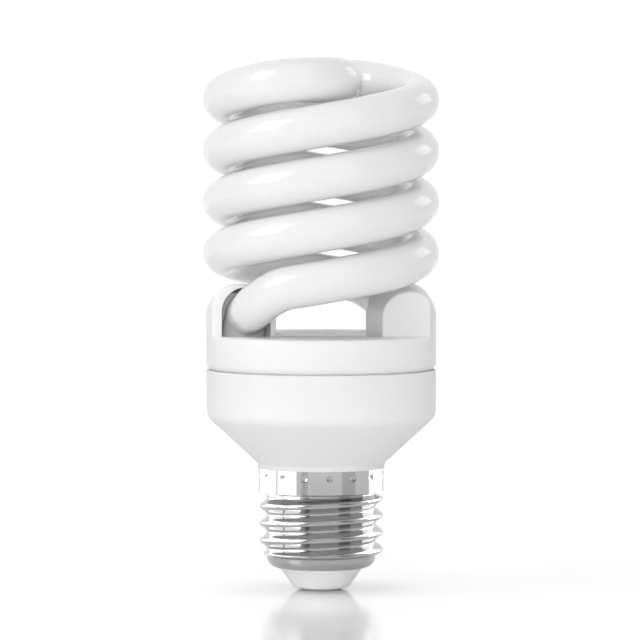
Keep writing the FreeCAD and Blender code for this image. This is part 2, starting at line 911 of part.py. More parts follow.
def land_faces(band, inset):
    """Narrow flat rings that join a side of the threaded band to the turned faces."""
    land = value("thread_land")
    lands = []
    for level, reach in ((thread_bottom_z.value, -land), (thread_top_z.value, land)):
        end = next(edge for edge in band.Edges
                   if edge.BoundBox.ZLength < FLAT and abs(edge.BoundBox.ZMin - level) < FLAT)
        radius = root_radius.value - inset + reach
        circle = Part.Circle(Vector(0, 0, level), Vector(0, 0, 1), radius).toShape()
        lands.append(Part.makeFace([Part.Wire(end), Part.Wire(circle)], "Part::FaceMakerBullseye"))
    return lands


def screw_shell():
    faces = bottom_faces() + skirt_faces()
    for inset in (0.0, value("shell_wall")):
        band = thread_face(inset)
        faces.append(band)
        faces.extend(land_faces(band, inset))
    sheet = Part.makeShell(faces)
    sheet.sewShape(SEWING_TOLERANCE)
    metal = Part.makeSolid(sheet)
    if metal.Volume < 0:
        metal.reverse()
    return solid("screw_shell", metal)


shell = screw_shell()


# Insulating bowl and contact plate

plug_bottom_z = lip_z + S["shell_wall"]
plug_top_z = plug_bottom_z + S["insulator_plug_height"]
stem_hole = S["contact_stem_radius"] + S["fit_clearance"]
recess_radius = S["contact_radius"] + S["contact_groove"]


def cap_insulator():
    """Cone-shaped bowl with a rounded foot, and the plug that the shell's lip holds."""
    foot = S["insulator_foot_radius"]
    run = S["insulator_radius"] - foot
    rise = lip_z - S["shell_lip_clearance"] - S["insulator_setback"]
    side = square_root(run * run + rise * rise)
    trim = S["insulator_round"] * (side - run) / rise
    return revolved("cap_insulator", [
        (stem_hole, S["contact_thickness"]),
        (recess_radius, S["contact_thickness"]),
        (recess_radius, S["insulator_setback"]),
        (foot - trim, S["insulator_setback"]),
        (foot + trim * run / side, S["insulator_setback"] + trim * rise / side, S["insulator_round"]),
        (S["insulator_radius"], lip_z - S["shell_lip_clearance"]),
        (S["insulator_radius"], plug_bottom_z),
        (shoulder_centre, plug_bottom_z),
        (shoulder_centre, plug_top_z),
        (stem_hole, plug_top_z),
    ])


def centre_contact():
    edge = S["contact_edge"]
    head = S["contact_stem_radius"] + S["contact_edge"]
    return revolved("centre_contact", [
        (ZERO, ZERO),
        (S["contact_radius"] - edge, ZERO),
        (S["contact_radius"], edge, edge),
        (S["contact_radius"], S["contact_thickness"]),
        (S["contact_stem_radius"], S["contact_thickness"]),
        (S["contact_stem_radius"], plug_top_z),
        (head, plug_top_z),
        (head - S["contact_dish"], plug_top_z + S["contact_dish"]),
        (ZERO, plug_top_z + S["contact_dish"]),
    ])


insulator = cap_insulator()
contact = centre_contact()


# Circuit board and the parts that hang under it, which keep their layout as the ledge's bore changes

layout_scale = ledge_bore / S["layout_radius"]
B = {alias: S[alias] * layout_scale for alias in LAYOUT_SIZES}

board = cylinder("circuit_board", barrel_bore - S["board_clearance"], S["board_thickness"],
                 0, 0, board_bottom_z)


def spot(across, along, up):
    return Vector(as_size(across).value, as_size(along).value, as_size(up).value)


def lead(name, points):
    return solid(name, wire(points, value("lead_diameter")))


def rounded_block(name, length, width, edge, height):
    """A block with round upright edges about the vertical through its own origin."""
    half = length / 2
    deep = width / 2
    return padded(name, [
        (-half + edge, -deep, edge),
        (half - edge, -deep),
        (half, -deep + edge, edge),
        (half, deep - edge),
        (half - edge, deep, edge),
        (-half + edge, deep),
        (-half, deep - edge, edge),
        (-half, -deep + edge),
    ], ZERO, height)


def hanging_lead(name, standoff, across, along):
    """A straight lead from the board down into a part that hangs under it."""
    length = standoff + S["lead_embed"]
    return cylinder(name, S["lead_diameter"] / 2, length, across, along, board_bottom_z - length)


def film_capacitor(name, size, spacing, across, along):
    """A dipped film capacitor of length, width and height that hangs on two leads."""
    length, width, height = size
    body = rounded_block(f"{name}_case", length, width, B["film_edge"], height)
    place(body, across, along, board_bottom_z - B["film_standoff"] - height)
    items = [body]
    for side in (-1, 1):
        foot = across + spacing / 2 * side
        items.append(hanging_lead(f"{name}_lead_{side + 1}", B["film_standoff"], foot, along))
    return fused(name, items)


film_size = (B["film_length"], B["film_width"], B["film_height"])
filter_size = (B["filter_length"], B["filter_width"], B["filter_height"])
resonance = film_capacitor("resonance_capacitor", film_size, B["film_lead_spacing"],
                           -B["film_offset_x"], B["film_offset_y"])
coupling = film_capacitor("coupling_capacitor", film_size, B["film_lead_spacing"],
                          -B["film_offset_x"], -B["film_offset_y"])
line_filter = film_capacitor("filter_capacitor", filter_size, B["filter_lead_spacing"],
                             B["can_offset"], -B["filter_offset"])


# Ballast choke: two E-shaped core halves round a bobbin with its winding

core_top_z = board_bottom_z - B["bobbin_base"]
core_bottom_z = core_top_z - B["choke_height"]
core_middle_z = core_top_z - B["choke_height"] / 2
window_width = (B["choke_width"] - B["choke_limb"] * 2) / 2
window_height = B["choke_height"] - B["choke_limb"]
window_bottom_z = core_bottom_z + B["choke_limb"] / 2


def choke_core():
    halves = []
    for name, bottom in (("core_lower", core_bottom_z), ("core_upper", core_middle_z)):
        half = block(name, B["choke_depth"], B["choke_width"], B["choke_height"] / 2,
                     B["choke_offset"], 0, bottom)
        windows = [
            block(f"{name}_window_{side + 1}", B["choke_depth"], window_width, window_height,
                  B["choke_offset"], (B["choke_limb"] + window_width) / 2 * side, window_bottom_z)
            for side in (-1, 1)
        ]
        halves.append(cut(f"{name}_half", half, group(f"{name}_windows", windows)))
    return group("choke_core", halves)


gap = S["winding_clearance"]
limb_room = B["choke_limb"] + gap * 2
barrel_width = limb_room + S["bobbin_wall"] * 2
barrel_depth = B["choke_depth"] + gap * 2 + S["bobbin_wall"] * 2
bobbin_height = window_height - gap * 2
coil_width = B["choke_limb"] + window_width * 2 - gap * 2
coil_depth = B["choke_depth"] + B["coil_build"] * 2


def choke_bobbin():
    """Coil former: barrel, two flanges, two cheeks and the base against the board."""
    across = B["choke_offset"]
    bottom = window_bottom_z + gap
    wall = S["bobbin_wall"]
    high_flange_z = bottom + bobbin_height - wall
    base = B["bobbin_base"] - gap
    cheek = B["coil_build"] - gap
    items = [
        block("bobbin_barrel", barrel_depth, barrel_width, bobbin_height, across, 0, bottom),
        block("bobbin_low_flange", coil_depth, coil_width, wall, across, 0, bottom),
        block("bobbin_high_flange", coil_depth, coil_width, wall, across, 0, high_flange_z),
        block("bobbin_base_plate", coil_depth, coil_width, base, across, 0, core_top_z + gap),
    ]
    for side in (-1, 1):
        middle = across + (B["choke_depth"] / 2 + gap + cheek / 2) * side
        items.append(block(f"bobbin_cheek_{side + 1}", cheek, coil_width, board_bottom_z - high_flange_z,
                           middle, 0, high_flange_z))
    whole = fused("bobbin_whole", items)
    room = block("bobbin_limb_room", B["choke_depth"] + gap * 2, limb_room, window_height,
                 across, 0, window_bottom_z)
    return cut("choke_bobbin", whole, room)


def choke_winding():
    across = B["choke_offset"]
    bottom = window_bottom_z + gap * 2 + S["bobbin_wall"]
    height = bobbin_height - gap * 2 - S["bobbin_wall"] * 2
    coil = rounded_block("winding_coil", coil_depth - gap * 2, coil_width - gap * 2, B["bobbin_base"], height)
    place(coil, across, 0, bottom)
    room = block("winding_room", barrel_depth + gap, barrel_width + gap, height, across, 0, bottom)
    return cut("choke_winding", coil, room)


core = choke_core()
bobbin = choke_bobbin()
winding = choke_winding()


# Electrolytic can that reaches down into the neck

def bulk_capacitor():
    groove = B["can_groove"]
    bead_z = B["can_height"] - B["can_bead_height"]
    can = revolved("can_body", [
        (ZERO, ZERO),
        (B["can_radius"] - groove, ZERO),
        (B["can_radius"], groove, groove),
        (B["can_radius"], bead_z - groove),
        (B["can_radius"] - groove, bead_z),
        (B["can_radius"], bead_z + groove),
        (B["can_radius"], B["can_height"] - groove),
        (B["can_radius"] - groove, B["can_height"], groove),
        (ZERO, B["can_height"]),
    ])
    place(can, -B["can_offset"], 0, board_bottom_z - B["can_lead_length"] - B["can_height"])
    items = [can]
    for side in (-1, 1):
        items.append(hanging_lead(f"can_lead_{side + 1}", B["can_lead_length"], -B["can_offset"],
                                  B["can_lead_spacing"] / 2 * side))
    return fused("bulk_capacitor", items)


bulk = bulk_capacitor()


# Transistors, toroid, diodes, resistors and the mains choke

def switch_transistors():
    """Two transistors with a flat face, each on three leads."""
    items = []
    flat = B["transistor_flat"]
    radius = B["transistor_radius"]
    chord = square_root(radius * radius - flat * flat)
    for side in (-1, 1):
        name = f"transistor_{side + 1}"
        case = padded(f"{name}_case", [
            (-chord, -flat, radius),
            (chord, -flat),
            (radius, ZERO, radius),
            (ZERO, radius, radius),
            (-radius, ZERO, radius),
        ], ZERO, B["transistor_height"])
        across = B["transistor_offset_x"] * side
        place(case, across, B["transistor_offset_y"],
              board_bottom_z - B["transistor_standoff"] - B["transistor_height"])
        parts = [case]
        for foot in (-1, 0, 1):
            parts.append(hanging_lead(f"{name}_lead_{foot + 1}", B["transistor_standoff"],
                                      across + B["transistor_pitch"] * foot, B["transistor_offset_y"]))
        items.append(fused(name, parts))
    return group("switch_transistors", items)


transistors = switch_transistors()

TOROID_TURNS = 9
turn_radius = B["toroid_section"] + B["toroid_wire"] / 2 + S["winding_clearance"]
toroid_z = board_bottom_z - turn_radius - B["toroid_wire"] / 2


def ring(name, big, small):
    item = doc.addObject("Part::Torus", name)
    bind(item, {"Radius1": big, "Radius2": small})
    return item


def toroid_windings():
    """Separate turns of wire that stand round the ring core."""
    turns = []
    for index in range(TOROID_TURNS):
        angle = math.radians(360 * index / TOROID_TURNS)
        turn = ring(f"toroid_turn_{index}", turn_radius, B["toroid_wire"] / 2)
        upright = Rotation(Vector(0, 0, 1), Vector(-math.sin(angle), math.cos(angle), 0))
        turn.Placement = Placement(Vector(), upright)
        place(turn, -B["toroid_offset"] + B["toroid_radius"] * math.cos(angle),
              B["toroid_radius"] * math.sin(angle), toroid_z)
        turns.append(turn)
    return group("toroid_windings", turns)


toroid = ring("drive_toroid", B["toroid_radius"], B["toroid_section"])
place(toroid, -B["toroid_offset"], 0, toroid_z)
turns = toroid_windings()


def axial_part(name, pieces, radius, span, across, along, lengthwise):
    """A part with a lead at each end, bent up to the board, lying along X or along Y.

    The pieces are (radius, length, shift) of its cylinders, shift along the part.
    """
    middle_z = board_bottom_z - radius - S["lead_diameter"]
    direction = Vector(1, 0, 0) if lengthwise == "X" else Vector(0, 1, 0)
    middle = spot(across, along, middle_z)
    rise = Vector(0, 0, board_bottom_z.value - middle_z.value)
    reach = direction * (span.value / 2)
    near = middle - reach
    far = middle + reach
    items = [lead(f"{name}_lead", [near + rise, near, far, far + rise])]
    for index, (size, length, shift) in enumerate(pieces):
        drum = cylinder(f"{name}_drum_{index}", size, length, 0, 0, 0)
        drum.Placement = Placement(Vector(), Rotation(Vector(0, 0, 1), direction))
        start = as_size(shift) - length / 2
        place(drum, as_size(across) + start * direction.x, as_size(along) + start * direction.y, middle_z)
        items.append(drum)
    return fused(name, items)


def rectifier_diodes():
    pieces = [(B["diode_radius"], B["diode_length"], ZERO)]
    step = B["diode_span"] / 2 + B["diode_row_gap"]
    diodes = []
    for column in (0, 1):
        for side in (-1, 1):
            across = B["diode_offset"] + B["diode_spacing"] * column
            diodes.append(axial_part(f"diode_{column}_{side + 1}", pieces, B["diode_radius"],
                                     B["diode_span"], across, step * side, "Y"))
    return group("rectifier_diodes", diodes)


def bone_pieces():
    """A resistor's waist and its two end caps."""
    shift = (B["resistor_length"] - B["resistor_cap"]) / 2
    return [
        (B["resistor_waist"], B["resistor_length"], ZERO),
        (B["resistor_radius"], B["resistor_cap"], -shift),
        (B["resistor_radius"], B["resistor_cap"], shift),
    ]


def resistor_group():
    items = []
    for side in (-1, 1):
        for row in (1, 2):
            along = (B["choke_width"] / 2 + B["resistor_row_gap"] * row) * side
            items.append(axial_part(f"resistor_{side + 1}_{row}", bone_pieces(), B["resistor_radius"],
                                    B["resistor_span"], B["resistor_offset"], along, "X"))
    return group("resistors", items)


def trigger_diac():
    pieces = [(B["diac_radius"], B["diac_length"], ZERO)]
    along = B["film_offset_y"] + B["film_width"] / 2 + B["diac_gap"] + B["diac_radius"]
    return axial_part("trigger_diac", pieces, B["diac_radius"], B["diac_span"], -B["diac_offset"], along, "X")


diodes = rectifier_diodes()
diac = trigger_diac()
resistors = resistor_group()


def input_choke():
    """A drum core with its winding between two flanges."""
    flange = B["drum_flange"]
    bottom = board_bottom_z - B["drum_height"]
    drum = revolved("input_choke", [
        (ZERO, ZERO),
        (B["drum_radius"], ZERO),
        (B["drum_radius"], flange),
        (B["drum_waist"], flange),
        (B["drum_waist"], B["drum_height"] - flange),
        (B["drum_radius"], B["drum_height"] - flange),
        (B["drum_radius"], B["drum_height"]),
        (ZERO, B["drum_height"]),
    ])
    filter_side = B["can_offset"] - B["filter_length"] / 2
    place(drum, filter_side - B["drum_gap"] - B["drum_radius"], -B["filter_offset"], bottom)
    return drum


drum = input_choke()


# Leads: tube ends to their pins, board to the cap

pins = []
cathode_wires = []
for side in (1, -1):
    for row in (1, -1):
        pin_x = -B["pin_offset"] * side
        pin_y = B["pin_spacing"] / 2 * row + leg_axis.y * side
        pins.append(block(f"pin_{side + 1}_{row + 1}", S["pin_width"], S["pin_width"], S["pin_height"],
                          pin_x, pin_y, board_top_z))
        start_y = leg_axis.y * side + value("cathode_spacing") / 2 * row
        start = Vector(leg_axis.x * side, start_y, leg_end_z.value)
        low = board_top_z.value + value("leg_end_gap") / 2
        end = spot(pin_x - (S["pin_width"] / 2 + S["fit_clearance"]) * side, pin_y, low)
        cathode_wires.append(lead(f"cathode_wire_{side + 1}_{row + 1}",
                                  [start, Vector(start.x, start.y, low), end]))
wrap_pins = group("wrap_pins", pins)
cathode_leads = group("cathode_leads", cathode_wires)

fuse_top_z = S["fuse_height"] + B["fuse_length"]
fuse_y = -B["fuse_setback"]
fuse = cylinder("fuse_resistor", B["fuse_radius"], B["fuse_length"],
                B["fuse_offset"], fuse_y, S["fuse_height"])


def live_lead():
    """Upper wire from the board to the fuse resistor, lower wire from it to the contact."""
    foot = spot(B["fuse_offset"], fuse_y, fuse_top_z)
    board_end = spot(B["live_end_x"], -B["live_end_y"], board_bottom_z)
    under_choke = core_bottom_z.value - value("wire_diameter")
    upper = wire([
        board_end,
        Vector(board_end.x, board_end.y, under_choke),
        Vector(foot.x, foot.y, (under_choke + foot.z) / 2),
        foot,
    ], value("wire_diameter"))
    contact_end = spot(0, 0, plug_top_z + S["contact_dish"])
    fuse_end = spot(B["fuse_offset"], fuse_y, S["fuse_height"])
    lower = wire([
        fuse_end,
        Vector(fuse_end.x, fuse_end.y, (fuse_end.z * 2 + contact_end.z) / 3),
        Vector(0, 0, (fuse_end.z + contact_end.z * 2) / 3),
        contact_end,
    ], value("wire_diameter"))
    return solid("live_lead", Part.makeCompound([upper, lower]))


def neutral_lead():
    """Wire from the board down the neck and out under its end to the screw shell."""
    radius = value("wire_diameter") / 2
    down = neck_bore.value - radius - value("fit_clearance")
    low = thread_bottom_z.value + value("neck_end_gap") - radius - value("fit_clearance")
    out = root_radius.value - value("shell_wall") - value("fit_clearance")
    return solid("neutral_lead", wire([
        spot(0, down - value("wire_diameter"), board_bottom_z),
        spot(0, down - value("wire_diameter"), barrel_bottom_z),
        Vector(0, down, barrel_bottom_z.value - value("cone_height")),
        Vector(0, down, low),
        Vector(0, out, low),
    ], value("wire_diameter")))


live = live_lead()
neutral = neutral_lead()


# Check every object, then write each sub-part

SUB_PARTS = [
    discharge_tube, cover, cement, housing, shell, insulator, contact, board, core, bobbin, winding, bulk,
    resonance, coupling, line_filter, transistors, toroid, turns, diodes, diac, resistors, drum, fuse,
    wrap_pins, cathode_leads, live, neutral,
]

doc.recompute()
for item in doc.Objects:
    if {"Invalid", "Error"} & set(item.State):
        raise RuntimeError(f"{item.Name} failed: {item.State}")
for item in SUB_PARTS:
    if item.Shape.isNull() or not item.Shape.isValid():
        raise RuntimeError(f"{item.Label} has no valid shape")

os.makedirs("parts", exist_ok=True)
for item in SUB_PARTS:
    item.Shape.exportStep(f"parts/{item.Label}.step")
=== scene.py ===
import math

import bmesh
import bpy
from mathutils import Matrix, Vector


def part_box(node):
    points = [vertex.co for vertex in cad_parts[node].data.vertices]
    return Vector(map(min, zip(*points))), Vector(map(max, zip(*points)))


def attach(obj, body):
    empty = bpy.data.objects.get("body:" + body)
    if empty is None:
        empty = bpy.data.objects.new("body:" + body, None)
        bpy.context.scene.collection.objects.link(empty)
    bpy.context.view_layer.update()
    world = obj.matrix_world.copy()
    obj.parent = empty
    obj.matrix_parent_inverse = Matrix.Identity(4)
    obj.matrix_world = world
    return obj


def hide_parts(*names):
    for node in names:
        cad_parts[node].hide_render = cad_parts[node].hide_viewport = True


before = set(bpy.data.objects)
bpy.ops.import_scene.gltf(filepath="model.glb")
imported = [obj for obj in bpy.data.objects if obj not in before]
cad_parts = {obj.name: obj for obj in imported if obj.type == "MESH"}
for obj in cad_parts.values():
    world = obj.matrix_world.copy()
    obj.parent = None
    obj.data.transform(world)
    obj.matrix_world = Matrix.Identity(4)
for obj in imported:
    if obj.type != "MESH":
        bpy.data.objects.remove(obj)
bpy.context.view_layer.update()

bl_info = {
    "name": "Spiral Energy Saving Bulb",
    "version": (1, 0, 0),
    "blender": (4, 5, 0),
    "location": "View3D > Sidebar > Spiral Bulb",
    "description": "Dresses the packed solids of a spiral lamp with smooth pieces, finishes and a studio",
    "category": "Object",
}

BODY = "root"
MM = 0.001
WELD = 1e-6


# Settings that a user would change

def length(title, words, millimetres):
    """A length property in metres, from a size in millimetres."""
    return bpy.props.FloatProperty(name=title, description=words, default=millimetres * MM,
                                   unit="LENGTH", subtype="DISTANCE", precision=5)


def angle(title, words, degrees):
    """An angle property, from degrees."""
    return bpy.props.FloatProperty(name=title, description=words, default=math.radians(degrees),
                                   unit="ROTATION", subtype="ANGLE")


def colour(title, words, default):
    """A colour property, in linear light."""
    return bpy.props.FloatVectorProperty(name=title, description=words, default=default, size=3,
                                         min=0.0, max=1.0, subtype="COLOR")


def level(title, words, default):
    """A brightness property, where one is white."""
    return bpy.props.FloatProperty(name=title, description=words, default=default, min=0.0)


def power(title, words, default):
    """A property for a light's power, in watts."""
    return bpy.props.FloatProperty(name=title, description=words, default=default, min=0.0, unit="POWER")


class TubeSettings(bpy.types.PropertyGroup):
    """Sizes of the glass tube's double spiral and its legs."""
    diameter: length("Diameter", "Outside diameter of the glass", 9.15)
    spiral_radius: length("Spiral Radius", "Lamp axis to the middle of the glass", 20.45)
    strand_gap: length("Strand Gap", "Clear height between two strands", 1.67)
    arm_turn: angle("Arm Turn", "How far each arm winds round the axis", 702)
    leave_angle: angle("Leave Angle", "Where an arm leaves the bend of its leg", 252)
    cover_top: length("Cover Top", "Height of the cover's top face", 54.1)
    spiral_lift: length("Spiral Lift", "Start of an arm above the cover", 10.82)
    bridge_rise: length("Bridge Rise", "Rise of the bridge over the top", 0.57)
    leg_reach: length("Leg Reach", "Lamp axis to the middle of a leg's end", 16.575)
    leg_lift: length("Leg Lift", "End of the bend above the cover", 5.7)
    leg_slope: angle("Leg Slope", "Fall of a leg inside its hood", 12)
    leg_run: length("Leg Run", "Straight run of a leg", 3.8)
    leg_turn_radius: length("Leg Turn", "Radius of the last turn downwards", 8.0)
    hood_taper: length("Hood Taper", "Width that a hood loses along its length", 3.4)
    hood_length: length("Hood Length", "Length of a hood", 16.8)


class HousingSettings(bpy.types.PropertyGroup):
    """Sizes of the lower housing."""
    radius: length("Barrel Radius", "Outside of the barrel", 24.35)
    collar_radius: length("Collar Radius", "Outside of the collar above the cap", 13.5)
    collar_height: length("Collar Height", "Straight side of the collar", 1.0)
    cone_height: length("Cone Height", "Rise of the cone", 10.0)
    cone_round: length("Cone Round", "Round between the cone and the barrel", 3.0)
    seat: length("Seat", "Height of the seam", 47.1)
    wall: length("Wall", "Wall of the housing", 1.6)
    rim_relief: length("Rim Relief", "Height of the shadow line under the seam", 0.36)
    rim_relief_depth: length("Rim Relief Depth", "Depth of the shadow line under the seam", 1.2)
    neck_radius: length("Neck Radius", "Outside of the neck in the cap", 11.0)
    neck_bore: length("Neck Bore", "Radius of the hole through the neck", 9.75)
    step_radius: length("Step Radius", "Outside of the step in the cap's plain band", 12.95)
    step_height: length("Step Height", "Height of the step's lower face", 21.3)
    ledge_radius: length("Ledge Radius", "Inside of the ledge", 21.55)
    ledge_height: length("Ledge Height", "Height of the ledge's upper face", 43.2)
    edge_round: length("Edge Round", "Round of the neck, the step, the ledge and the seam", 0.2)
    collar_round: length("Collar Round", "Round of the collar's lower edge", 0.15)
    rim_round: length("Rim Round", "Round of the edge under the shadow line", 0.12)
    corner_round: length("Corner Round", "Round above the collar and inside the cone", 0.4)


class CapSettings(bpy.types.PropertyGroup):
    """Sizes of the screw cap."""
    thread_radius: length("Thread Radius", "Axis to the crests", 13.15)
    thread_depth: length("Thread Depth", "Crest to root", 1.55)
    thread_pitch: length("Thread Pitch", "Rise of one turn", 3.629)
    thread_bottom: length("Thread Bottom", "Height of the thread's foot", 7.1)
    thread_length: length("Thread Length", "Height of the threaded band", 13.4)
    thread_fade: length("Thread Fade", "Band in which the thread runs out", 0.9)
    first_crest: length("First Crest", "Crest above the thread's foot, on the +X side", 1.56)
    shoulder_radius: length("Shoulder Radius", "Round under the thread", 2.4)
    skirt_radius: length("Skirt Radius", "Outside of the plain band", 13.35)
    skirt_flare: length("Skirt Flare", "Height of the step up to the plain band", 0.5)
    top: length("Cap Top", "Top edge of the plain band", 25.9)
    wall: length("Sheet", "Thickness of the metal", 0.3)
    lip_radius: length("Lip Radius", "Hole in the bottom of the shell", 8.9)
    dent_depth: length("Dent Depth", "Depth of a crimp mark", 0.30)
    dent_radius: length("Dent Radius", "Size of a crimp mark", 0.68)
    dent_drop: length("Dent Drop", "Crimp marks below the top edge", 1.5)
    dent_count: bpy.props.IntProperty(name="Dents", description="Crimp marks round the cap",
                                      default=16, min=1)
    first_dent: angle("First Dent", "A crimp mark to the left of the front", 15)


class BowlSettings(bpy.types.PropertyGroup):
    """Sizes of the insulating bowl under the cap."""
    bore: length("Bore", "Radius of the hole for the live lead", 1.7)
    recess_radius: length("Recess Radius", "Radius of the recess for the contact plate", 4.95)
    recess_top: length("Recess Top", "Height of the recess's face", 0.9)
    recess_round: length("Recess Round", "Round inside the recess", 0.15)
    foot: length("Foot", "Height of the bowl's foot", 0.4)
    foot_edge: length("Foot Edge", "Round between the recess and the foot", 0.12)
    foot_radius: length("Foot Radius", "Where the foot meets the slanted side", 5.75)
    foot_round: length("Foot Round", "Round between the foot and the side", 1.3)
    throat_radius: length("Throat Radius", "Outside of the bowl in the shell's lip", 8.8)
    throat_bottom: length("Throat Bottom", "Height of the slanted side's top", 4.6)
    bead_radius: length("Bead Radius", "Outside of the bead that rests on the lip", 9.15)
    throat_round: length("Throat Round", "Round of the throat and of the bead's lower edge", 0.1)
    top: length("Bowl Top", "Height of the bowl's top face", 6.8)
    top_round: length("Top Round", "Round of the top face's edges", 0.2)


class FinishSettings(bpy.types.PropertyGroup):
    """Colours of the outside."""
    glass: colour("Glass", "Coated glass of the tube", (0.885, 0.885, 0.88))
    plastic: colour("Plastic", "Moulded housing", (0.93, 0.93, 0.926))
    metal: colour("Metal", "Plated screw cap", (0.50, 0.504, 0.508))
    insulator: colour("Insulator", "Bowl under the cap", (0.95, 0.95, 0.945))
    contact: colour("Contact", "Tinned contact plate", (0.86, 0.855, 0.845))


class StudioSettings(bpy.types.PropertyGroup):
    """Lights and camera."""
    key: power("Key", "Soft box at the upper left, a little in front", 1.0)
    fill: power("Fill", "Soft box behind the camera, not seen in reflections", 2.85)
    panel: level("Panel", "Level of the white panels that the cap mirrors", 2.1)
    shine: level("Shine", "Level of the panel in front of the key that only reflections show", 3.0)
    sparkle: level("Sparkle", "Level of the small panel that the glass mirrors at its right ends", 1.3)
    surround: level("Surround", "Level of the studio round the object", 0.74)
    flag: level("Flag", "Level of the two darker flags beside the camera", 0.3)
    distance: length("Distance", "Camera to the lamp's axis", 979.0)
    camera_height: length("Camera Height", "Camera above the contact", 104.4)
    aim_height: length("Aim Height", "Point on the axis that the camera looks at", 57.2)
    aim_side: length("Aim Side", "Shift of the view to the left", 0.25)
    lens: bpy.props.FloatProperty(name="Lens", description="Focal length in millimetres", default=260.2,
                                  unit="CAMERA")


# Meshes

TURNED_COLUMNS = 160
ROUND_STEPS = 6
# degrees past which an edge stays sharp, on moulded pieces and on swept or rolled ones
MOULDED_CREASE = 35
ROLLED_CREASE = 60


def new_piece(name, vertices, faces, node):
    """A piece of the object, attached to the body, that stands in for a CAD node, which it hides."""
    mesh = bpy.data.meshes.new(name)
    mesh.from_pydata(vertices, [], faces)
    work = bmesh.new()
    work.from_mesh(mesh)
    bmesh.ops.recalc_face_normals(work, faces=work.faces)
    work.to_mesh(mesh)
    work.free()
    piece = bpy.data.objects.new(name, mesh)
    bpy.context.scene.collection.objects.link(piece)
    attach(piece, BODY)
    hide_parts(node)
    return piece


def smooth(piece, crease=MOULDED_CREASE):
    """Smooth shading with sharp edges kept, and flat faces kept flat beside rounds."""
    mesh = piece.data
    mesh.shade_smooth()
    mesh.set_sharp_from_angle(angle=math.radians(crease))
    weighted = piece.modifiers.new("weighted_normals", "WEIGHTED_NORMAL")
    weighted.keep_sharp = True


def dress(piece, material):
    """Give a piece one material in place of what it has."""
    piece.data.materials.clear()
    piece.data.materials.append(material)


def grid_faces(rows, columns, closed_rows=False):
    """Quads of a grid whose columns go round and join up."""
    faces = []
    for row in range(rows if closed_rows else rows - 1):
        above = (row + 1) % rows
        for column in range(columns):
            beside = (column + 1) % columns
            faces.append((row * columns + column, row * columns + beside,
                          above * columns + beside, above * columns + column))
    return faces


def rounded_outline(corners):
    """Points along a closed outline of (radius, height, round) corners, in metres."""
    points = []
    count = len(corners)
    for index, (across, up, bend) in enumerate(corners):
        here = Vector((across, up))
        if bend == 0:
            points.append(here)
            continue
        before = (Vector(corners[index - 1][:2]) - here).normalized()
        after = (Vector(corners[(index + 1) % count][:2]) - here).normalized()
        half = before.angle(after) / 2
        centre = here + (before + after).normalized() * (bend / math.sin(half))
        start = here + before * (bend / math.tan(half)) - centre
        end = here + after * (bend / math.tan(half)) - centre
        sweep = start.angle_signed(end)
        for step in range(ROUND_STEPS + 1):
            turn = -sweep * step / ROUND_STEPS
            points.append(centre + Vector((start.x * math.cos(turn) - start.y * math.sin(turn),
                                           start.x * math.sin(turn) + start.y * math.cos(turn))))
    return points


def turned_piece(name, corners, node):
    """A ring-shaped piece turned about the lamp's axis from the corners of a closed outline."""
    outline = rounded_outline(corners)
    vertices = []
    for point in outline:
        for column in range(TURNED_COLUMNS):
            turn = 2 * math.pi * column / TURNED_COLUMNS
            vertices.append((point.x * math.cos(turn), point.x * math.sin(turn), point.y))
    faces = grid_faces(len(outline), TURNED_COLUMNS, closed_rows=True)
    piece = new_piece(name, vertices, faces, node)
    smooth(piece)
    return piece


# Path of the glass tube, the same formula as the solid

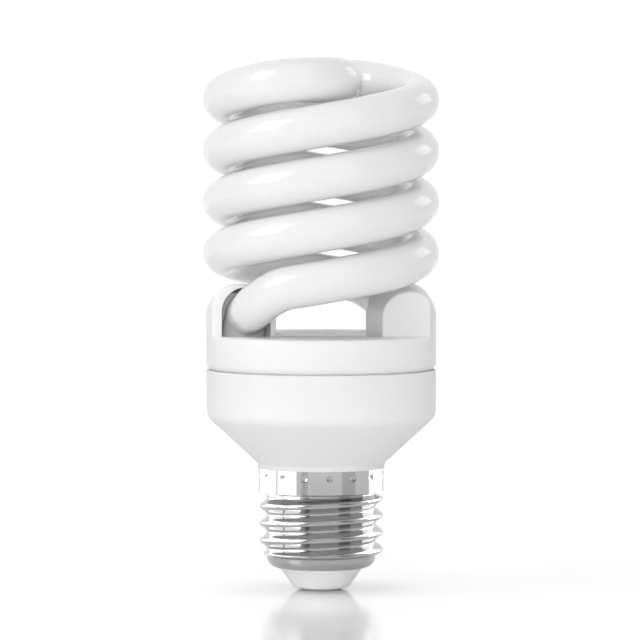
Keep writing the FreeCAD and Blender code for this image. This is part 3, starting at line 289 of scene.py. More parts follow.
class TubePath:
    """The line along the middle of the glass tube."""

    ARM_POINTS = 200
    BRIDGE_POINTS = 48
    BEND_POINTS = 28
    TURN_POINTS = 12

    def __init__(self, sizes, leg_end):
        self.sizes = sizes
        self.leg_end = leg_end
        self.pitch = 2 * (sizes.diameter + sizes.strand_gap)
        self.climb = self.pitch / (2 * math.pi * sizes.spiral_radius)
        self.leave_z = sizes.cover_top + sizes.spiral_lift
        self.slant = math.atan(sizes.hood_taper / sizes.hood_length)
        self.bend_radius = self.leg_bend_radius()
        self.top_z = self.leave_z + self.pitch * sizes.arm_turn / (2 * math.pi)

    def leg_bend_radius(self):
        """Bend, in plan, that brings the end of the leg to its place."""
        sizes = self.sizes
        turn_run = sizes.leg_turn_radius * (1 - math.sin(sizes.leg_slope))
        onward = sizes.leg_run * math.cos(sizes.leg_slope) + turn_run
        bend_end = sizes.leg_reach - onward * math.sin(self.slant)
        start = sizes.spiral_radius * math.cos(sizes.leave_angle)
        return (start + bend_end) / (math.cos(sizes.leave_angle) + math.cos(self.slant))

    def arm(self, part):
        """Place on the winding, from the bend of the leg to the bridge."""
        sizes = self.sizes
        turn = sizes.leave_angle + sizes.arm_turn * part
        up = self.leave_z + self.pitch * sizes.arm_turn * part / (2 * math.pi)
        return Vector((sizes.spiral_radius * math.cos(turn), sizes.spiral_radius * math.sin(turn), up))

    def bridge(self, part):
        """Place on half of the bridge, from the end of the arm to the axis."""
        sizes = self.sizes
        radius = sizes.spiral_radius / 2
        start = sizes.leave_angle + sizes.arm_turn
        outward = Vector((math.cos(start), math.sin(start), 0))
        onward = Vector((-math.sin(start), math.cos(start), 0))
        first_rise = self.climb * math.pi * radius
        left = 1 - part
        cubic = first_rise - 2 * sizes.bridge_rise
        square = sizes.bridge_rise - cubic
        up = self.top_z + sizes.bridge_rise - square * left ** 2 - cubic * left ** 3
        turn = math.pi * part
        plan = outward * (radius + radius * math.cos(turn)) + onward * (radius * math.sin(turn))
        return plan + Vector((0, 0, up))

    def bend(self, part):
        """Place and heading on the bend from the arm down to the leg."""
        sizes = self.sizes
        turn = sizes.leave_angle - math.pi - self.slant
        run = turn * self.bend_radius
        out = Vector((math.cos(sizes.leave_angle), math.sin(sizes.leave_angle), 0))
        centre = out * (sizes.spiral_radius - self.bend_radius)
        now = sizes.leave_angle - turn * part
        first = self.climb * run
        last = math.tan(sizes.leg_slope) * run
        drop = sizes.spiral_lift - sizes.leg_lift
        square = 3 * drop - 2 * first - last
        cubic = first + last - 2 * drop
        up = self.leave_z - (first * part + square * part ** 2 + cubic * part ** 3)
        slope = (first + 2 * square * part + 3 * cubic * part ** 2) / run
        place = centre + Vector((math.cos(now), math.sin(now), 0)) * self.bend_radius
        heading = Vector((math.sin(now), -math.cos(now), -slope)).normalized()
        return place + Vector((0, 0, up)), heading

    def leg(self):
        """Points from the end of the bend to the bottom of the leg."""
        sizes = self.sizes
        place, heading = self.bend(1.0)
        start = place + heading * sizes.leg_run
        ahead = Vector((heading.x, heading.y, 0)).normalized()
        axis = Vector((-ahead.y, ahead.x, 0))
        inward = axis.cross(heading)
        centre = start + inward * sizes.leg_turn_radius
        points = [place + heading * (sizes.leg_run / 2)]
        total = math.pi / 2 - sizes.leg_slope
        for step in range(self.TURN_POINTS + 1):
            turn = total * step / self.TURN_POINTS
            points.append(centre - inward * (sizes.leg_turn_radius * math.cos(turn))
                          + heading * (sizes.leg_turn_radius * math.sin(turn)))
        foot = points[-1]
        points.append(Vector((foot.x, foot.y, self.leg_end)))
        return points

    def half(self):
        """Points from the bottom of a leg up to the bridge's middle, which is left out."""
        bend = [self.bend(step / self.BEND_POINTS)[0] for step in range(1, self.BEND_POINTS + 1)]
        points = list(reversed(bend + self.leg()))
        points += [self.arm(step / self.ARM_POINTS) for step in range(self.ARM_POINTS)]
        points += [self.bridge(step / self.BRIDGE_POINTS) for step in range(self.BRIDGE_POINTS)]
        return points

    def whole(self):
        """Points from the bottom of one leg to the bottom of the other."""
        half = self.half()
        other = [Vector((-point.x, -point.y, point.z)) for point in reversed(half)]
        return half + [self.bridge(1.0)] + other


def swept_tube(name, path, radius, columns, node):
    """A round tube along a path, with its ends closed."""
    vertices = []
    heading = (path[1] - path[0]).normalized()
    side = Vector((1, 0, 0))
    for index, place in enumerate(path):
        before = path[max(index - 1, 0)]
        after = path[min(index + 1, len(path) - 1)]
        following = (after - before).normalized()
        side = heading.rotation_difference(following) @ side
        heading = following
        side = (side - heading * side.dot(heading)).normalized()
        across = heading.cross(side)
        for column in range(columns):
            turn = 2 * math.pi * column / columns
            outward = side * math.cos(turn) + across * math.sin(turn)
            vertices.append(place + outward * radius)
    faces = grid_faces(len(path), columns)
    last = (len(path) - 1) * columns
    faces.append(tuple(range(columns)))
    faces.append(tuple(last + column for column in range(columns)))
    piece = new_piece(name, vertices, faces, node)
    smooth(piece, ROLLED_CREASE)
    return piece


# Screw shell mesh

SHELL_COLUMNS = 320
LIP_STEPS = 3
SHOULDER_STEPS = 10
FLARE_STEPS = 4
# rows of the thread and of the plain band, on each face of the sheet
OUTSIDE_STEPS = (96, 30)
INSIDE_STEPS = (40, 12)


def smooth_step(part):
    """A rise from zero to one with level ends."""
    part = min(max(part, 0.0), 1.0)
    return part * part * (3 - 2 * part)


def shell_radius(cap, up, turn):
    """Outer radius of the threaded band at a height and an angle."""
    root = cap.thread_radius - cap.thread_depth
    turns = (up - cap.thread_bottom - cap.first_crest) / cap.thread_pitch
    wave = (1 + math.cos(2 * math.pi * turns - turn)) / 2
    low = smooth_step((up - cap.thread_bottom) / cap.thread_fade)
    high = smooth_step((cap.thread_bottom + cap.thread_length - up) / cap.thread_fade)
    return root + cap.thread_depth * wave * low * high


def dent(cap, up, turn):
    """Depth of the crimp marks at a point of the plain band."""
    step = 2 * math.pi / cap.dent_count
    first = -math.pi / 2 - cap.first_dent
    off = (turn - first + step / 2) % step - step / 2
    reach = math.hypot(off * cap.skirt_radius, up - (cap.top - cap.dent_drop)) / cap.dent_radius
    return cap.dent_depth * smooth_step(1 - reach)


def even(radius):
    """A row of the sheet with one radius all round."""
    return lambda turn: radius


def shell_rows(cap, inset, thread_steps, skirt_steps):
    """Rows of the sheet from its lip to its top: a radius by angle, inset from the outside, and a height."""
    root = cap.thread_radius - cap.thread_depth
    lip_z = cap.thread_bottom - cap.shoulder_radius
    rows = []
    for step in range(LIP_STEPS):
        across = cap.lip_radius + (root - cap.shoulder_radius - cap.lip_radius) * step / LIP_STEPS
        rows.append((even(across), lip_z + inset))
    for step in range(SHOULDER_STEPS):
        turn = math.pi / 2 * step / SHOULDER_STEPS
        reach = cap.shoulder_radius - inset
        across = root - cap.shoulder_radius + reach * math.sin(turn)
        rows.append((even(across), cap.thread_bottom - reach * math.cos(turn)))
    for step in range(thread_steps):
        up = cap.thread_bottom + cap.thread_length * step / thread_steps
        rows.append((lambda turn, up=up: shell_radius(cap, up, turn) - inset, up))
    thread_top = cap.thread_bottom + cap.thread_length
    for step in range(FLARE_STEPS):
        part = step / FLARE_STEPS
        across = root + (cap.skirt_radius - root) * smooth_step(part) - inset
        rows.append((even(across), thread_top + cap.skirt_flare * part))
    skirt_bottom = thread_top + cap.skirt_flare
    for step in range(skirt_steps + 1):
        up = skirt_bottom + (cap.top - skirt_bottom) * step / skirt_steps
        rows.append((lambda turn, up=up: cap.skirt_radius - inset - dent(cap, up, turn), up))
    return rows


def shell_mesh(cap):
    """Vertices and faces of the sheet, up its outside and down its inside."""
    rows = shell_rows(cap, 0.0, *OUTSIDE_STEPS)
    rows += reversed(shell_rows(cap, cap.wall, *INSIDE_STEPS))
    vertices = []
    for reach, up in rows:
        for column in range(SHELL_COLUMNS):
            turn = 2 * math.pi * column / SHELL_COLUMNS
            radius = reach(turn)
            vertices.append((radius * math.cos(turn), radius * math.sin(turn), up))
    return vertices, grid_faces(len(rows), SHELL_COLUMNS, closed_rows=True)


# Shared shader effects

def new_group(name, inputs, outputs):
    """An empty shader node group with its sockets; inputs are (name, kind, default)."""
    group = bpy.data.node_groups.new(name, "ShaderNodeTree")
    for title, kind, default in inputs:
        socket = group.interface.new_socket(title, in_out="INPUT", socket_type=kind)
        socket.default_value = default
    for title, kind in outputs:
        group.interface.new_socket(title, in_out="OUTPUT", socket_type=kind)
    return group, group.nodes.new("NodeGroupInput"), group.nodes.new("NodeGroupOutput")


def mottle_group():
    """Soft cloudy change between two colours, as in a coating or a moulding."""
    group, given, result = new_group("Soft Mottle", [
        ("Vector", "NodeSocketVector", (0, 0, 0)),
        ("Scale", "NodeSocketFloat", 90.0),
        ("Colour", "NodeSocketColor", (0.8, 0.8, 0.8, 1)),
        ("Shade", "NodeSocketColor", (0.7, 0.7, 0.7, 1)),
    ], [("Colour", "NodeSocketColor")])
    noise = group.nodes.new("ShaderNodeTexNoise")
    noise.inputs["Detail"].default_value = 4
    ramp = group.nodes.new("ShaderNodeMapRange")
    ramp.inputs["From Min"].default_value = 0.35
    ramp.inputs["From Max"].default_value = 0.7
    mix = group.nodes.new("ShaderNodeMix")
    mix.data_type = "RGBA"
    link = group.links.new
    link(given.outputs["Vector"], noise.inputs["Vector"])
    link(given.outputs["Scale"], noise.inputs["Scale"])
    link(noise.outputs["Fac"], ramp.inputs["Value"])
    link(ramp.outputs["Result"], mix.inputs["Factor"])
    link(given.outputs["Colour"], mix.inputs["A"])
    link(given.outputs["Shade"], mix.inputs["B"])
    link(mix.outputs["Result"], result.inputs["Colour"])
    return group


def grain_group():
    """Fine height of a moulded, rolled or lacquered skin, stretched by its own vector."""
    group, given, result = new_group("Skin Grain", [
        ("Vector", "NodeSocketVector", (0, 0, 0)),
        ("Scale", "NodeSocketFloat", 4000.0),
        ("Stretch", "NodeSocketVector", (1, 1, 1)),
    ], [("Height", "NodeSocketFloat")])
    stretch = group.nodes.new("ShaderNodeVectorMath")
    stretch.operation = "MULTIPLY"
    noise = group.nodes.new("ShaderNodeTexNoise")
    noise.inputs["Detail"].default_value = 3
    link = group.links.new
    link(given.outputs["Vector"], stretch.inputs[0])
    link(given.outputs["Stretch"], stretch.inputs[1])
    link(stretch.outputs["Vector"], noise.inputs["Vector"])
    link(given.outputs["Scale"], noise.inputs["Scale"])
    link(noise.outputs["Fac"], result.inputs["Height"])
    return group


def haze_group():
    """Roughness that drifts between two values, as on a handled surface."""
    group, given, result = new_group("Handling Haze", [
        ("Vector", "NodeSocketVector", (0, 0, 0)),
        ("Scale", "NodeSocketFloat", 60.0),
        ("Low", "NodeSocketFloat", 0.3),
        ("High", "NodeSocketFloat", 0.4),
    ], [("Roughness", "NodeSocketFloat")])
    noise = group.nodes.new("ShaderNodeTexNoise")
    noise.inputs["Detail"].default_value = 5
    ramp = group.nodes.new("ShaderNodeMapRange")
    ramp.inputs["From Min"].default_value = 0.3
    ramp.inputs["From Max"].default_value = 0.7
    link = group.links.new
    link(given.outputs["Vector"], noise.inputs["Vector"])
    link(given.outputs["Scale"], noise.inputs["Scale"])
    link(noise.outputs["Fac"], ramp.inputs["Value"])
    link(given.outputs["Low"], ramp.inputs["To Min"])
    link(given.outputs["High"], ramp.inputs["To Max"])
    link(ramp.outputs["Result"], result.inputs["Roughness"])
    return group


def turns_group():
    """Height of round turns stacked along the lamp's axis, as in a winding or a woven sleeve."""
    group, given, result = new_group("Stacked Turns", [
        ("Vector", "NodeSocketVector", (0, 0, 0)),
        ("Pitch", "NodeSocketFloat", 0.0004),
    ], [("Height", "NodeSocketFloat")])
    ways = group.nodes.new("ShaderNodeSeparateXYZ")
    count = group.nodes.new("ShaderNodeMath")
    count.operation = "DIVIDE"
    fold = group.nodes.new("ShaderNodeMath")
    fold.operation = "PINGPONG"
    fold.inputs[1].default_value = 0.5
    crown = group.nodes.new("ShaderNodeMapRange")
    crown.interpolation_type = "SMOOTHERSTEP"
    crown.inputs["From Max"].default_value = 0.5
    link = group.links.new
    link(given.outputs["Vector"], ways.inputs["Vector"])
    link(ways.outputs["Z"], count.inputs[0])
    link(given.outputs["Pitch"], count.inputs[1])
    link(count.outputs["Value"], fold.inputs[0])
    link(fold.outputs["Value"], crown.inputs["Value"])
    link(crown.outputs["Result"], result.inputs["Height"])
    return group


class Finish:
    """A material of the object: mottled colour, drifting roughness and a bump."""

    groups = {}

    def __init__(self, name, base, shade, rough, mottle_scale):
        """Mottle from the base colour down to a shade of it, with roughness between two values."""
        self.material = bpy.data.materials.new(name)
        self.material.use_nodes = True
        self.nodes = self.material.node_tree.nodes
        self.link = self.material.node_tree.links.new
        self.shader = self.nodes["Principled BSDF"]
        self.place = self.nodes.new("ShaderNodeTexCoord").outputs["Object"]
        mottle = self.effect(mottle_group)
        mottle.inputs["Scale"].default_value = mottle_scale
        mottle.inputs["Colour"].default_value = (*base, 1)
        mottle.inputs["Shade"].default_value = (*(channel * shade for channel in base), 1)
        self.link(mottle.outputs["Colour"], self.shader.inputs["Base Color"])
        haze = self.effect(haze_group)
        haze.inputs["Low"].default_value = rough[0]
        haze.inputs["High"].default_value = rough[1]
        self.link(haze.outputs["Roughness"], self.shader.inputs["Roughness"])

    def effect(self, maker):
        """Place a shared group, built on its first use, and feed it the object's own place."""
        if maker not in Finish.groups:
            Finish.groups[maker] = maker()
        node = self.nodes.new("ShaderNodeGroup")
        node.node_tree = Finish.groups[maker]
        self.link(self.place, node.inputs["Vector"])
        return node

    def grain(self, scale, depth, stretch=(1, 1, 1)):
        """A bump from the shared grain, its depth in metres."""
        node = self.effect(grain_group)
        node.inputs["Scale"].default_value = scale
        node.inputs["Stretch"].default_value = stretch
        self.bump(node.outputs["Height"], depth)
        return self

    def turns(self, pitch, depth):
        """A bump from the shared turns, pitch and depth in metres."""
        node = self.effect(turns_group)
        node.inputs["Pitch"].default_value = pitch
        self.bump(node.outputs["Height"], depth)
        return self

    def bump(self, height, depth):
        """Feed a height to the shader's normal."""
        bump = self.nodes.new("ShaderNodeBump")
        bump.inputs["Distance"].default_value = depth
        self.link(height, bump.inputs["Height"])
        self.link(bump.outputs["Normal"], self.shader.inputs["Normal"])

    def set(self, **sockets):
        """Set plain numbers on the shader's own sockets, named with underscores."""
        for name, value in sockets.items():
            self.shader.inputs[name.replace("_", " ")].default_value = value
        return self


# Operators

class BULB_OT_glass_tube(bpy.types.Operator):
    """Sweep the glass tube along the double spiral"""
    bl_idname = "bulb.glass_tube"
    bl_label = "Glass Tube"

    COLUMNS = 56

    def execute(self, context):
        sizes = context.scene.bulb_tube
        colours = context.scene.bulb_finish
        leg_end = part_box("discharge_tube")[0].z
        path = TubePath(sizes, leg_end).whole()
        radius = sizes.diameter / 2
        piece = swept_tube("glass_tube", path, radius, self.COLUMNS, "discharge_tube")
        finish = Finish("coated_glass", colours.glass, shade=0.985, rough=(0.3, 0.36), mottle_scale=60.0)
        finish.set(Specular_IOR_Level=0.1, Coat_Weight=1.0, Coat_Roughness=0.04, Coat_IOR=1.5)
        dress(piece, finish.grain(scale=300.0, depth=0.00004).material)
        return {"FINISHED"}


class BULB_OT_cover(bpy.types.Operator):
    """Smooth the tube holder cover with its two hoods"""
    bl_idname = "bulb.cover"
    bl_label = "Tube Holder Cover"

    def execute(self, context):
        work = bmesh.new()
        work.from_mesh(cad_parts["tube_holder_cover"].data)
        bmesh.ops.remove_doubles(work, verts=work.verts, dist=WELD)
        work.verts.index_update()
        vertices = [vertex.co.copy() for vertex in work.verts]
        faces = [[vertex.index for vertex in face.verts] for face in work.faces]
        work.free()
        piece = new_piece("hooded_cover", vertices, faces, "tube_holder_cover")
        smooth(piece)
        dress(piece, plastic(context))
        return {"FINISHED"}


def plastic(context):
    """The satin moulded plastic of both housings, a little translucent."""
    known = bpy.data.materials.get("moulded_plastic")
    if known:
        return known
    base = context.scene.bulb_finish.plastic
    finish = Finish("moulded_plastic", base, shade=0.985, rough=(0.36, 0.46), mottle_scale=120.0)
    finish.set(IOR=1.48, Subsurface_Weight=0.3, Subsurface_Scale=0.0025, Subsurface_Radius=(1, 1, 1))
    return finish.grain(scale=5200.0, depth=0.00001).material


class BULB_OT_housing(bpy.types.Operator):
    """Turn the lower housing with rounded edges"""
    bl_idname = "bulb.housing"
    bl_label = "Ballast Housing"

    def execute(self, context):
        sizes = context.scene.bulb_housing
        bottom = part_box("ballast_housing")[0].z
        cap_top = context.scene.bulb_cap.top
        collar_top = cap_top + sizes.collar_height
        barrel_bottom = collar_top + sizes.cone_height
        lean = sizes.cone_height / (sizes.radius - sizes.collar_radius)
        rise = sizes.wall * math.hypot(lean, 1)
        ledge_foot = barrel_bottom - (sizes.radius - sizes.ledge_radius) * lean + rise
        bore_top = barrel_bottom - (sizes.radius - sizes.neck_bore) * lean + rise
        inside = sizes.radius - sizes.wall
        relief = sizes.radius - sizes.rim_relief_depth
        rim = sizes.seat - sizes.rim_relief
        piece = turned_piece("lower_housing", [
            (sizes.neck_bore, bottom, 0),
            (sizes.neck_radius, bottom, sizes.edge_round),
            (sizes.neck_radius, sizes.step_height, 0),
            (sizes.step_radius, sizes.step_height, sizes.edge_round),
            (sizes.step_radius, cap_top, 0),
            (sizes.collar_radius, cap_top, sizes.collar_round),
            (sizes.collar_radius, collar_top, sizes.corner_round),
            (sizes.radius, barrel_bottom, sizes.cone_round),
            (sizes.radius, rim, sizes.rim_round),
            (relief, rim, 0),
            (relief, sizes.seat, 0),
            (inside, sizes.seat, sizes.edge_round),
            (inside, sizes.ledge_height, 0),
            (sizes.ledge_radius, sizes.ledge_height, sizes.edge_round),
            (sizes.ledge_radius, ledge_foot, sizes.corner_round),
            (sizes.neck_bore, bore_top, sizes.corner_round),
        ], "ballast_housing")
        dress(piece, plastic(context))
        return {"FINISHED"}


class BULB_OT_screw_shell(bpy.types.Operator):
    """Form the rolled screw shell with its thread and crimp marks"""
    bl_idname = "bulb.screw_shell"
    bl_label = "Screw Shell"

    def execute(self, context):
        vertices, faces = shell_mesh(context.scene.bulb_cap)
        piece = new_piece("rolled_screw_shell", vertices, faces, "screw_shell")
        smooth(piece, ROLLED_CREASE)
        base = context.scene.bulb_finish.metal
        finish = Finish("bright_plate", base, shade=0.95, rough=(0.05, 0.09), mottle_scale=200.0)
        finish.set(Metallic=1.0)
        dress(piece, finish.grain(scale=900.0, depth=0.000001, stretch=(0.15, 0.15, 3.0)).material)
        return {"FINISHED"}


class BULB_OT_insulator(bpy.types.Operator):
    """Turn the insulating bowl and give the contact plate its finish"""
    bl_idname = "bulb.insulator"
    bl_label = "Insulator And Contact"

    def execute(self, context):
        colours = context.scene.bulb_finish
        cap = context.scene.bulb_cap
        sizes = context.scene.bulb_bowl
        lip_top = cap.thread_bottom - cap.shoulder_radius + cap.wall
        bowl = turned_piece("insulating_bowl", [
            (sizes.bore, sizes.recess_top, 0),
            (sizes.recess_radius, sizes.recess_top, sizes.recess_round),
            (sizes.recess_radius, sizes.foot, sizes.foot_edge),
            (sizes.foot_radius, sizes.foot, sizes.foot_round),
            (sizes.throat_radius, sizes.throat_bottom, sizes.throat_round),
            (sizes.throat_radius, lip_top, 0),
            (sizes.bead_radius, lip_top, sizes.throat_round),
            (sizes.bead_radius, sizes.top, sizes.top_round),
            (sizes.bore, sizes.top, sizes.top_round),
        ], "cap_insulator")
        finish = Finish("bowl_white", colours.insulator, shade=0.97, rough=(0.22, 0.34), mottle_scale=300.0)
        dress(bowl, finish.grain(scale=2600.0, depth=0.00001).material)
        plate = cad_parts["centre_contact"]
        finish = Finish("tinned_contact", colours.contact, shade=0.9, rough=(0.3, 0.5), mottle_scale=500.0)
        finish.set(Metallic=0.3)
        dress(plate, finish.grain(scale=3000.0, depth=0.00002).material)
        return {"FINISHED"}


class BULB_OT_ballast(bpy.types.Operator):
    """Give the parts inside the housing their finishes"""
    bl_idname = "bulb.ballast"
    bl_label = "Ballast Parts"

    # colour, how dark its mottle gets, lowest and highest roughness, metallic, and the nodes that take it
    LOOKS = {
        "rough_cement": ((0.62, 0.58, 0.50), 0.85, (0.7, 0.9), 0.0, ["tube_cement"]),
        "paper_board": ((0.36, 0.22, 0.09), 0.8, (0.4, 0.55), 0.0, ["circuit_board"]),
        "dull_ferrite": ((0.035, 0.035, 0.038), 0.6, (0.5, 0.7), 0.0,
                         ["choke_core", "drive_toroid", "input_choke"]),
        "former_plastic": ((0.03, 0.028, 0.026), 0.8, (0.35, 0.5), 0.0, ["choke_bobbin"]),
        "enamelled_copper": ((0.50, 0.17, 0.06), 0.7, (0.2, 0.35), 1.0,
                             ["choke_winding", "toroid_windings"]),
        "shrunk_sleeve": ((0.02, 0.022, 0.035), 0.8, (0.2, 0.3), 0.0, ["bulk_capacitor"]),
        "dipped_film": ((0.28, 0.055, 0.02), 0.8, (0.15, 0.3), 0.0,
                        ["resonance_capacitor", "coupling_capacitor", "filter_capacitor"]),
        "moulded_epoxy": ((0.018, 0.018, 0.018), 0.7, (0.4, 0.6), 0.0,
                          ["switch_transistors", "rectifier_diodes"]),
        "blue_diac": ((0.03, 0.06, 0.22), 0.8, (0.15, 0.25), 0.0, ["trigger_diac"]),
        "resistor_lacquer": ((0.50, 0.36, 0.19), 0.8, (0.25, 0.35), 0.0, ["resistors"]),
        "woven_sleeve": ((0.66, 0.64, 0.58), 0.85, (0.7, 0.85), 0.0, ["fuse_resistor"]),
        "tinned_wire": ((0.60, 0.60, 0.59), 0.8, (0.2, 0.4), 1.0, ["wrap_pins", "cathode_leads"]),
        "wire_insulation": ((0.62, 0.62, 0.60), 0.9, (0.3, 0.45), 0.0, ["live_lead", "neutral_lead"]),
    }

    # spacing and depth of the turns on wound and woven parts, in metres
    TURNS = {"enamelled_copper": (0.00035, 0.00012), "woven_sleeve": (0.0005, 0.00015)}

    def execute(self, context):
        for name, (base, shade, rough, metallic, nodes) in self.LOOKS.items():
            finish = Finish(name, base, shade, rough, mottle_scale=400.0)
            finish.set(Metallic=metallic)
            if name in self.TURNS:
                finish.turns(*self.TURNS[name])
            else:
                finish.grain(scale=3000.0, depth=0.00002)
            for node in nodes:
                dress(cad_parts[node], finish.material)
        return {"FINISHED"}


class BULB_OT_studio(bpy.types.Operator):
    """Set the floor, the soft boxes, the surround and the camera"""
    bl_idname = "bulb.studio"
    bl_label = "Studio"

    # the floor and the backdrop, in metres
    FLOOR_HALF_WIDTH = 1.6
    FLOOR_FRONT = -1.4
    # up to here the floor is shaded as a level face
    FLOOR_LEVEL = 0.3
    BEND_START = 0.5
    BEND_RADIUS = 0.5
    BEND_STEPS = 16
    BACKDROP_TOP = 2.0
    # how much the paper glows, by distance from the lamp: enough far off for the backdrop to show white, and
    # fading to nothing near the lamp, a painted shadow round its foot
    GLOW_REACH = 0.5
    PAPER_GLOW_AND_PAINTED_SHADOW = ((0.006, 0.0), (0.028, 0.12), (0.150, 0.13), (GLOW_REACH, 0.36))

    # places and sizes of the lights, in metres
    MIDDLE = Vector((0, 0, 0.06))
    KEY_PLACE = Vector((-0.56, -0.29, 0.50))
    KEY_SIZE = (0.42, 0.50)
    SHINE_SIZE = (0.36, 0.40)
    # the shine panel stands this share of the way from the key to the object
    SHINE_STEP = 0.05
    FILL_PLACE = Vector((0, -1.0, 0.106))
    FILL_SIZE = (0.05, 0.05)
    SPARKLE_PLACE = Vector((0.284, 0.179, 0.235))
    SPARKLE_AIM = Vector((0, 0, 0.09))
    SPARKLE_SIZE = (0.15, 0.15)
    PANEL_MIDDLE = 0.16
    PANEL_HEIGHT = 0.34
    # how far beside the lamp each panel stands, and where it begins and ends from front to back
    PANELS = {
        "left_front_panel": (-0.14, -0.140, -0.0170),
        "left_back_panel": (-0.14, -0.0070, 0.200),
        "right_panel": (0.14, 0.012, 0.200),
    }
    # middle and half width of each dark flag, in degrees round the lamp from +X, and its soft edge
    FLAGS = ((-38, 12), (-121, 4))
    FLAG_EDGE = 3

    def execute(self, context):
        settings = context.scene.bulb_studio
        context.scene.view_settings.view_transform = "Standard"
        self.sweep()
        self.surround(context, settings)
        self.soft_box("key_box", self.KEY_PLACE, self.MIDDLE, self.KEY_SIZE, settings.key)
        shine_place = self.KEY_PLACE.lerp(self.MIDDLE, self.SHINE_STEP)
        shine = self.mirrored("shine_panel", shine_place, self.MIDDLE, self.SHINE_SIZE, settings.shine)
        shine.visible_diffuse = False
        fill = self.soft_box("fill_box", self.FILL_PLACE, self.MIDDLE, self.FILL_SIZE, settings.fill)
        fill.visible_glossy = False
        sparkle = self.mirrored("sparkle_panel", self.SPARKLE_PLACE, self.SPARKLE_AIM, self.SPARKLE_SIZE,
                                settings.sparkle)
        sparkle.visible_diffuse = False
        cap_only = bpy.data.collections.new("cap_only")
        cap_only.objects.link(bpy.data.objects["rolled_screw_shell"])
        for name, (aside, front, back) in self.PANELS.items():
            middle = Vector((0, (front + back) / 2, self.PANEL_MIDDLE))
            place = middle + Vector((aside, 0, 0))
            panel = self.mirrored(name, place, middle, (back - front, self.PANEL_HEIGHT), settings.panel)
            panel.light_linking.receiver_collection = cap_only
        self.camera(context, settings)
        return {"FINISHED"}

    def mirrored(self, name, place, target, size, brightness):
        """A soft box that shows a set brightness in reflections."""
        return self.soft_box(name, place, target, size, brightness * math.pi * size[0] * size[1])

    def soft_box(self, name, place, target, size, watts):
        """An area light that faces a target."""
        light = bpy.data.lights.new(name, "AREA")
        light.shape = "RECTANGLE"
        light.size, light.size_y = size
        light.energy = watts
        lamp = bpy.data.objects.new(name, light)
        lamp.location = place
        lamp.rotation_euler = (target - place).to_track_quat("-Z", "Y").to_euler()
        bpy.context.scene.collection.objects.link(lamp)
        return lamp

    def surround(self, context, settings):
        """A grey studio with two darker flags beside the camera that the plated cap mirrors."""
        world = bpy.data.worlds.new("studio_surround")
        world.use_nodes = True
        nodes = world.node_tree.nodes
        link = world.node_tree.links.new
        background = nodes["Background"]
        background.inputs["Color"].default_value = (1, 1, 1, 1)
        ways = nodes.new("ShaderNodeSeparateXYZ")
        link(nodes.new("ShaderNodeTexCoord").outputs["Generated"], ways.inputs["Vector"])
        round_axis = nodes.new("ShaderNodeMath")
        round_axis.operation = "ARCTAN2"
        link(ways.outputs["Y"], round_axis.inputs[0])
        link(ways.outputs["X"], round_axis.inputs[1])
        darkest = nodes.new("ShaderNodeMath")
        darkest.operation = "MINIMUM"
        for socket, (middle, half) in zip(darkest.inputs, self.FLAGS):
            off = nodes.new("ShaderNodeMath")
            off.operation = "SUBTRACT"
            off.inputs[1].default_value = math.radians(middle)
            link(round_axis.outputs["Value"], off.inputs[0])
            size = nodes.new("ShaderNodeMath")
            size.operation = "ABSOLUTE"
            link(off.outputs["Value"], size.inputs[0])
            edge = nodes.new("ShaderNodeMapRange")
            edge.interpolation_type = "SMOOTHSTEP"
            edge.inputs["From Min"].default_value = math.radians(half)
            edge.inputs["From Max"].default_value = math.radians(half + self.FLAG_EDGE)
            edge.inputs["To Min"].default_value = settings.flag
            edge.inputs["To Max"].default_value = settings.surround
            link(size.outputs["Value"], edge.inputs["Value"])
            link(edge.outputs["Result"], socket)
        # beyond the floor's edge the camera sees white
        seen = nodes.new("ShaderNodeMath")
        seen.operation = "MAXIMUM"
        link(darkest.outputs["Value"], seen.inputs[0])
        link(nodes.new("ShaderNodeLightPath").outputs["Is Camera Ray"], seen.inputs[1])
        link(seen.outputs["Value"], background.inputs["Strength"])
        context.scene.world = world

    def sweep(self):
        """A pale floor that curves up into a backdrop."""
        profile = [(self.FLOOR_FRONT, 0.0), (self.FLOOR_LEVEL, 0.0)]
        for step in range(self.BEND_STEPS + 1):
            turn = math.pi / 2 * step / self.BEND_STEPS
            along = self.BEND_START + self.BEND_RADIUS * math.sin(turn)
            profile.append((along, self.BEND_RADIUS - self.BEND_RADIUS * math.cos(turn)))
        profile.append((self.BEND_START + self.BEND_RADIUS, self.BACKDROP_TOP))
        vertices = []
        for along, up in profile:
            vertices.append((-self.FLOOR_HALF_WIDTH, along, up))
            vertices.append((self.FLOOR_HALF_WIDTH, along, up))
        faces = [(2 * row, 2 * row + 1, 2 * row + 3, 2 * row + 2) for row in range(len(profile) - 1)]
        mesh = bpy.data.meshes.new("studio_sweep")
        mesh.from_pydata(vertices, [], faces)
        mesh.shade_smooth()
        floor = bpy.data.objects.new("studio_sweep", mesh)
        bpy.context.scene.collection.objects.link(floor)
        mesh.materials.append(self.paper())

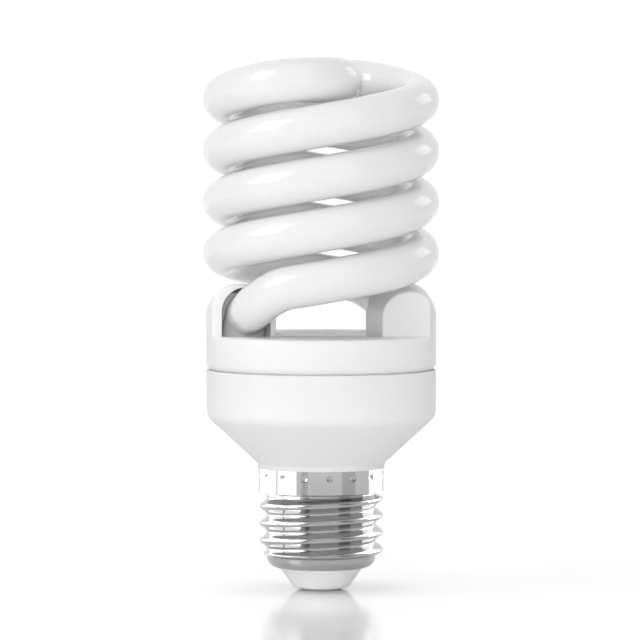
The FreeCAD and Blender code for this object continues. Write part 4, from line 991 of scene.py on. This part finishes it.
    def paper(self):
        """White paper that keeps the shadow and shows white to the camera and in reflections; its glow fades
        out near the lamp, a painted shadow round the lamp's foot.
        """
        material = bpy.data.materials.new("studio_paper")
        material.use_nodes = True
        nodes = material.node_tree.nodes
        link = material.node_tree.links.new
        shader = nodes["Principled BSDF"]
        shader.inputs["Base Color"].default_value = (0.92, 0.92, 0.92, 1)
        shader.inputs["Roughness"].default_value = 0.12
        shader.inputs["Emission Color"].default_value = (1, 1, 1, 1)
        reach = nodes.new("ShaderNodeVectorMath")
        reach.operation = "LENGTH"
        link(nodes.new("ShaderNodeTexCoord").outputs["Object"], reach.inputs[0])
        far = nodes.new("ShaderNodeMath")
        far.operation = "DIVIDE"
        far.inputs[1].default_value = self.GLOW_REACH
        link(reach.outputs["Value"], far.inputs[0])
        # glow by distance: none close to the lamp, a painted shadow round its foot, and more far off so the
        # backdrop shows white
        glow_ramp_with_painted_shadow = nodes.new("ShaderNodeValToRGB")
        glow_ramp_with_painted_shadow.color_ramp.interpolation = "EASE"
        stops = glow_ramp_with_painted_shadow.color_ramp.elements
        while len(stops) < len(self.PAPER_GLOW_AND_PAINTED_SHADOW):
            stops.new(1.0)
        for stop, (distance, grey) in zip(stops, self.PAPER_GLOW_AND_PAINTED_SHADOW):
            stop.position = distance / self.GLOW_REACH
            stop.color = (grey, grey, grey, 1)
        link(far.outputs["Value"], glow_ramp_with_painted_shadow.inputs["Fac"])
        rays = nodes.new("ShaderNodeLightPath")
        seen = rays.outputs["Is Camera Ray"]
        for kind in ("Is Glossy Ray", "Is Transmission Ray"):
            either = nodes.new("ShaderNodeMath")
            either.operation = "MAXIMUM"
            link(seen, either.inputs[0])
            link(rays.outputs[kind], either.inputs[1])
            seen = either.outputs["Value"]
        glow_with_painted_shadow = nodes.new("ShaderNodeMath")
        glow_with_painted_shadow.operation = "MULTIPLY"
        link(glow_ramp_with_painted_shadow.outputs["Color"], glow_with_painted_shadow.inputs[0])
        link(seen, glow_with_painted_shadow.inputs[1])
        link(glow_with_painted_shadow.outputs["Value"], shader.inputs["Emission Strength"])
        return material

    def camera(self, context, settings):
        """The photograph's viewing angle."""
        data = bpy.data.cameras.new("photo_camera")
        data.lens = settings.lens
        data.sensor_width = 36
        data.clip_end = 20
        eye = bpy.data.objects.new("photo_camera", data)
        place = Vector((-settings.aim_side, -settings.distance, settings.camera_height))
        aim = Vector((-settings.aim_side, 0, settings.aim_height))
        eye.location = place
        eye.rotation_euler = (aim - place).to_track_quat("-Z", "Y").to_euler()
        context.scene.collection.objects.link(eye)
        context.scene.camera = eye


class BULB_PT_panel(bpy.types.Panel):
    """Lists the pieces of the bulb"""
    bl_label = "Spiral Bulb"
    bl_idname = "BULB_PT_panel"
    bl_space_type = "VIEW_3D"
    bl_region_type = "UI"
    bl_category = "Spiral Bulb"

    def draw(self, context):
        for operator in OPERATORS:
            self.layout.operator(operator.bl_idname)


GROUPS = {
    "bulb_tube": TubeSettings,
    "bulb_housing": HousingSettings,
    "bulb_cap": CapSettings,
    "bulb_bowl": BowlSettings,
    "bulb_finish": FinishSettings,
    "bulb_studio": StudioSettings,
}
OPERATORS = [
    BULB_OT_glass_tube, BULB_OT_cover, BULB_OT_housing, BULB_OT_screw_shell, BULB_OT_insulator,
    BULB_OT_ballast, BULB_OT_studio,
]


def register():
    for group in GROUPS.values():
        bpy.utils.register_class(group)
    for operator in OPERATORS:
        bpy.utils.register_class(operator)
    bpy.utils.register_class(BULB_PT_panel)
    for name, group in GROUPS.items():
        setattr(bpy.types.Scene, name, bpy.props.PointerProperty(type=group))


def unregister():
    for name in GROUPS:
        delattr(bpy.types.Scene, name)
    bpy.utils.unregister_class(BULB_PT_panel)
    for operator in reversed(OPERATORS):
        bpy.utils.unregister_class(operator)
    for group in reversed(list(GROUPS.values())):
        bpy.utils.unregister_class(group)


def main():
    register()
    bpy.ops.bulb.glass_tube()
    bpy.ops.bulb.cover()
    bpy.ops.bulb.housing()
    bpy.ops.bulb.screw_shell()
    bpy.ops.bulb.insulator()
    bpy.ops.bulb.ballast()
    bpy.ops.bulb.studio()


if __name__ == "__main__":
    main()
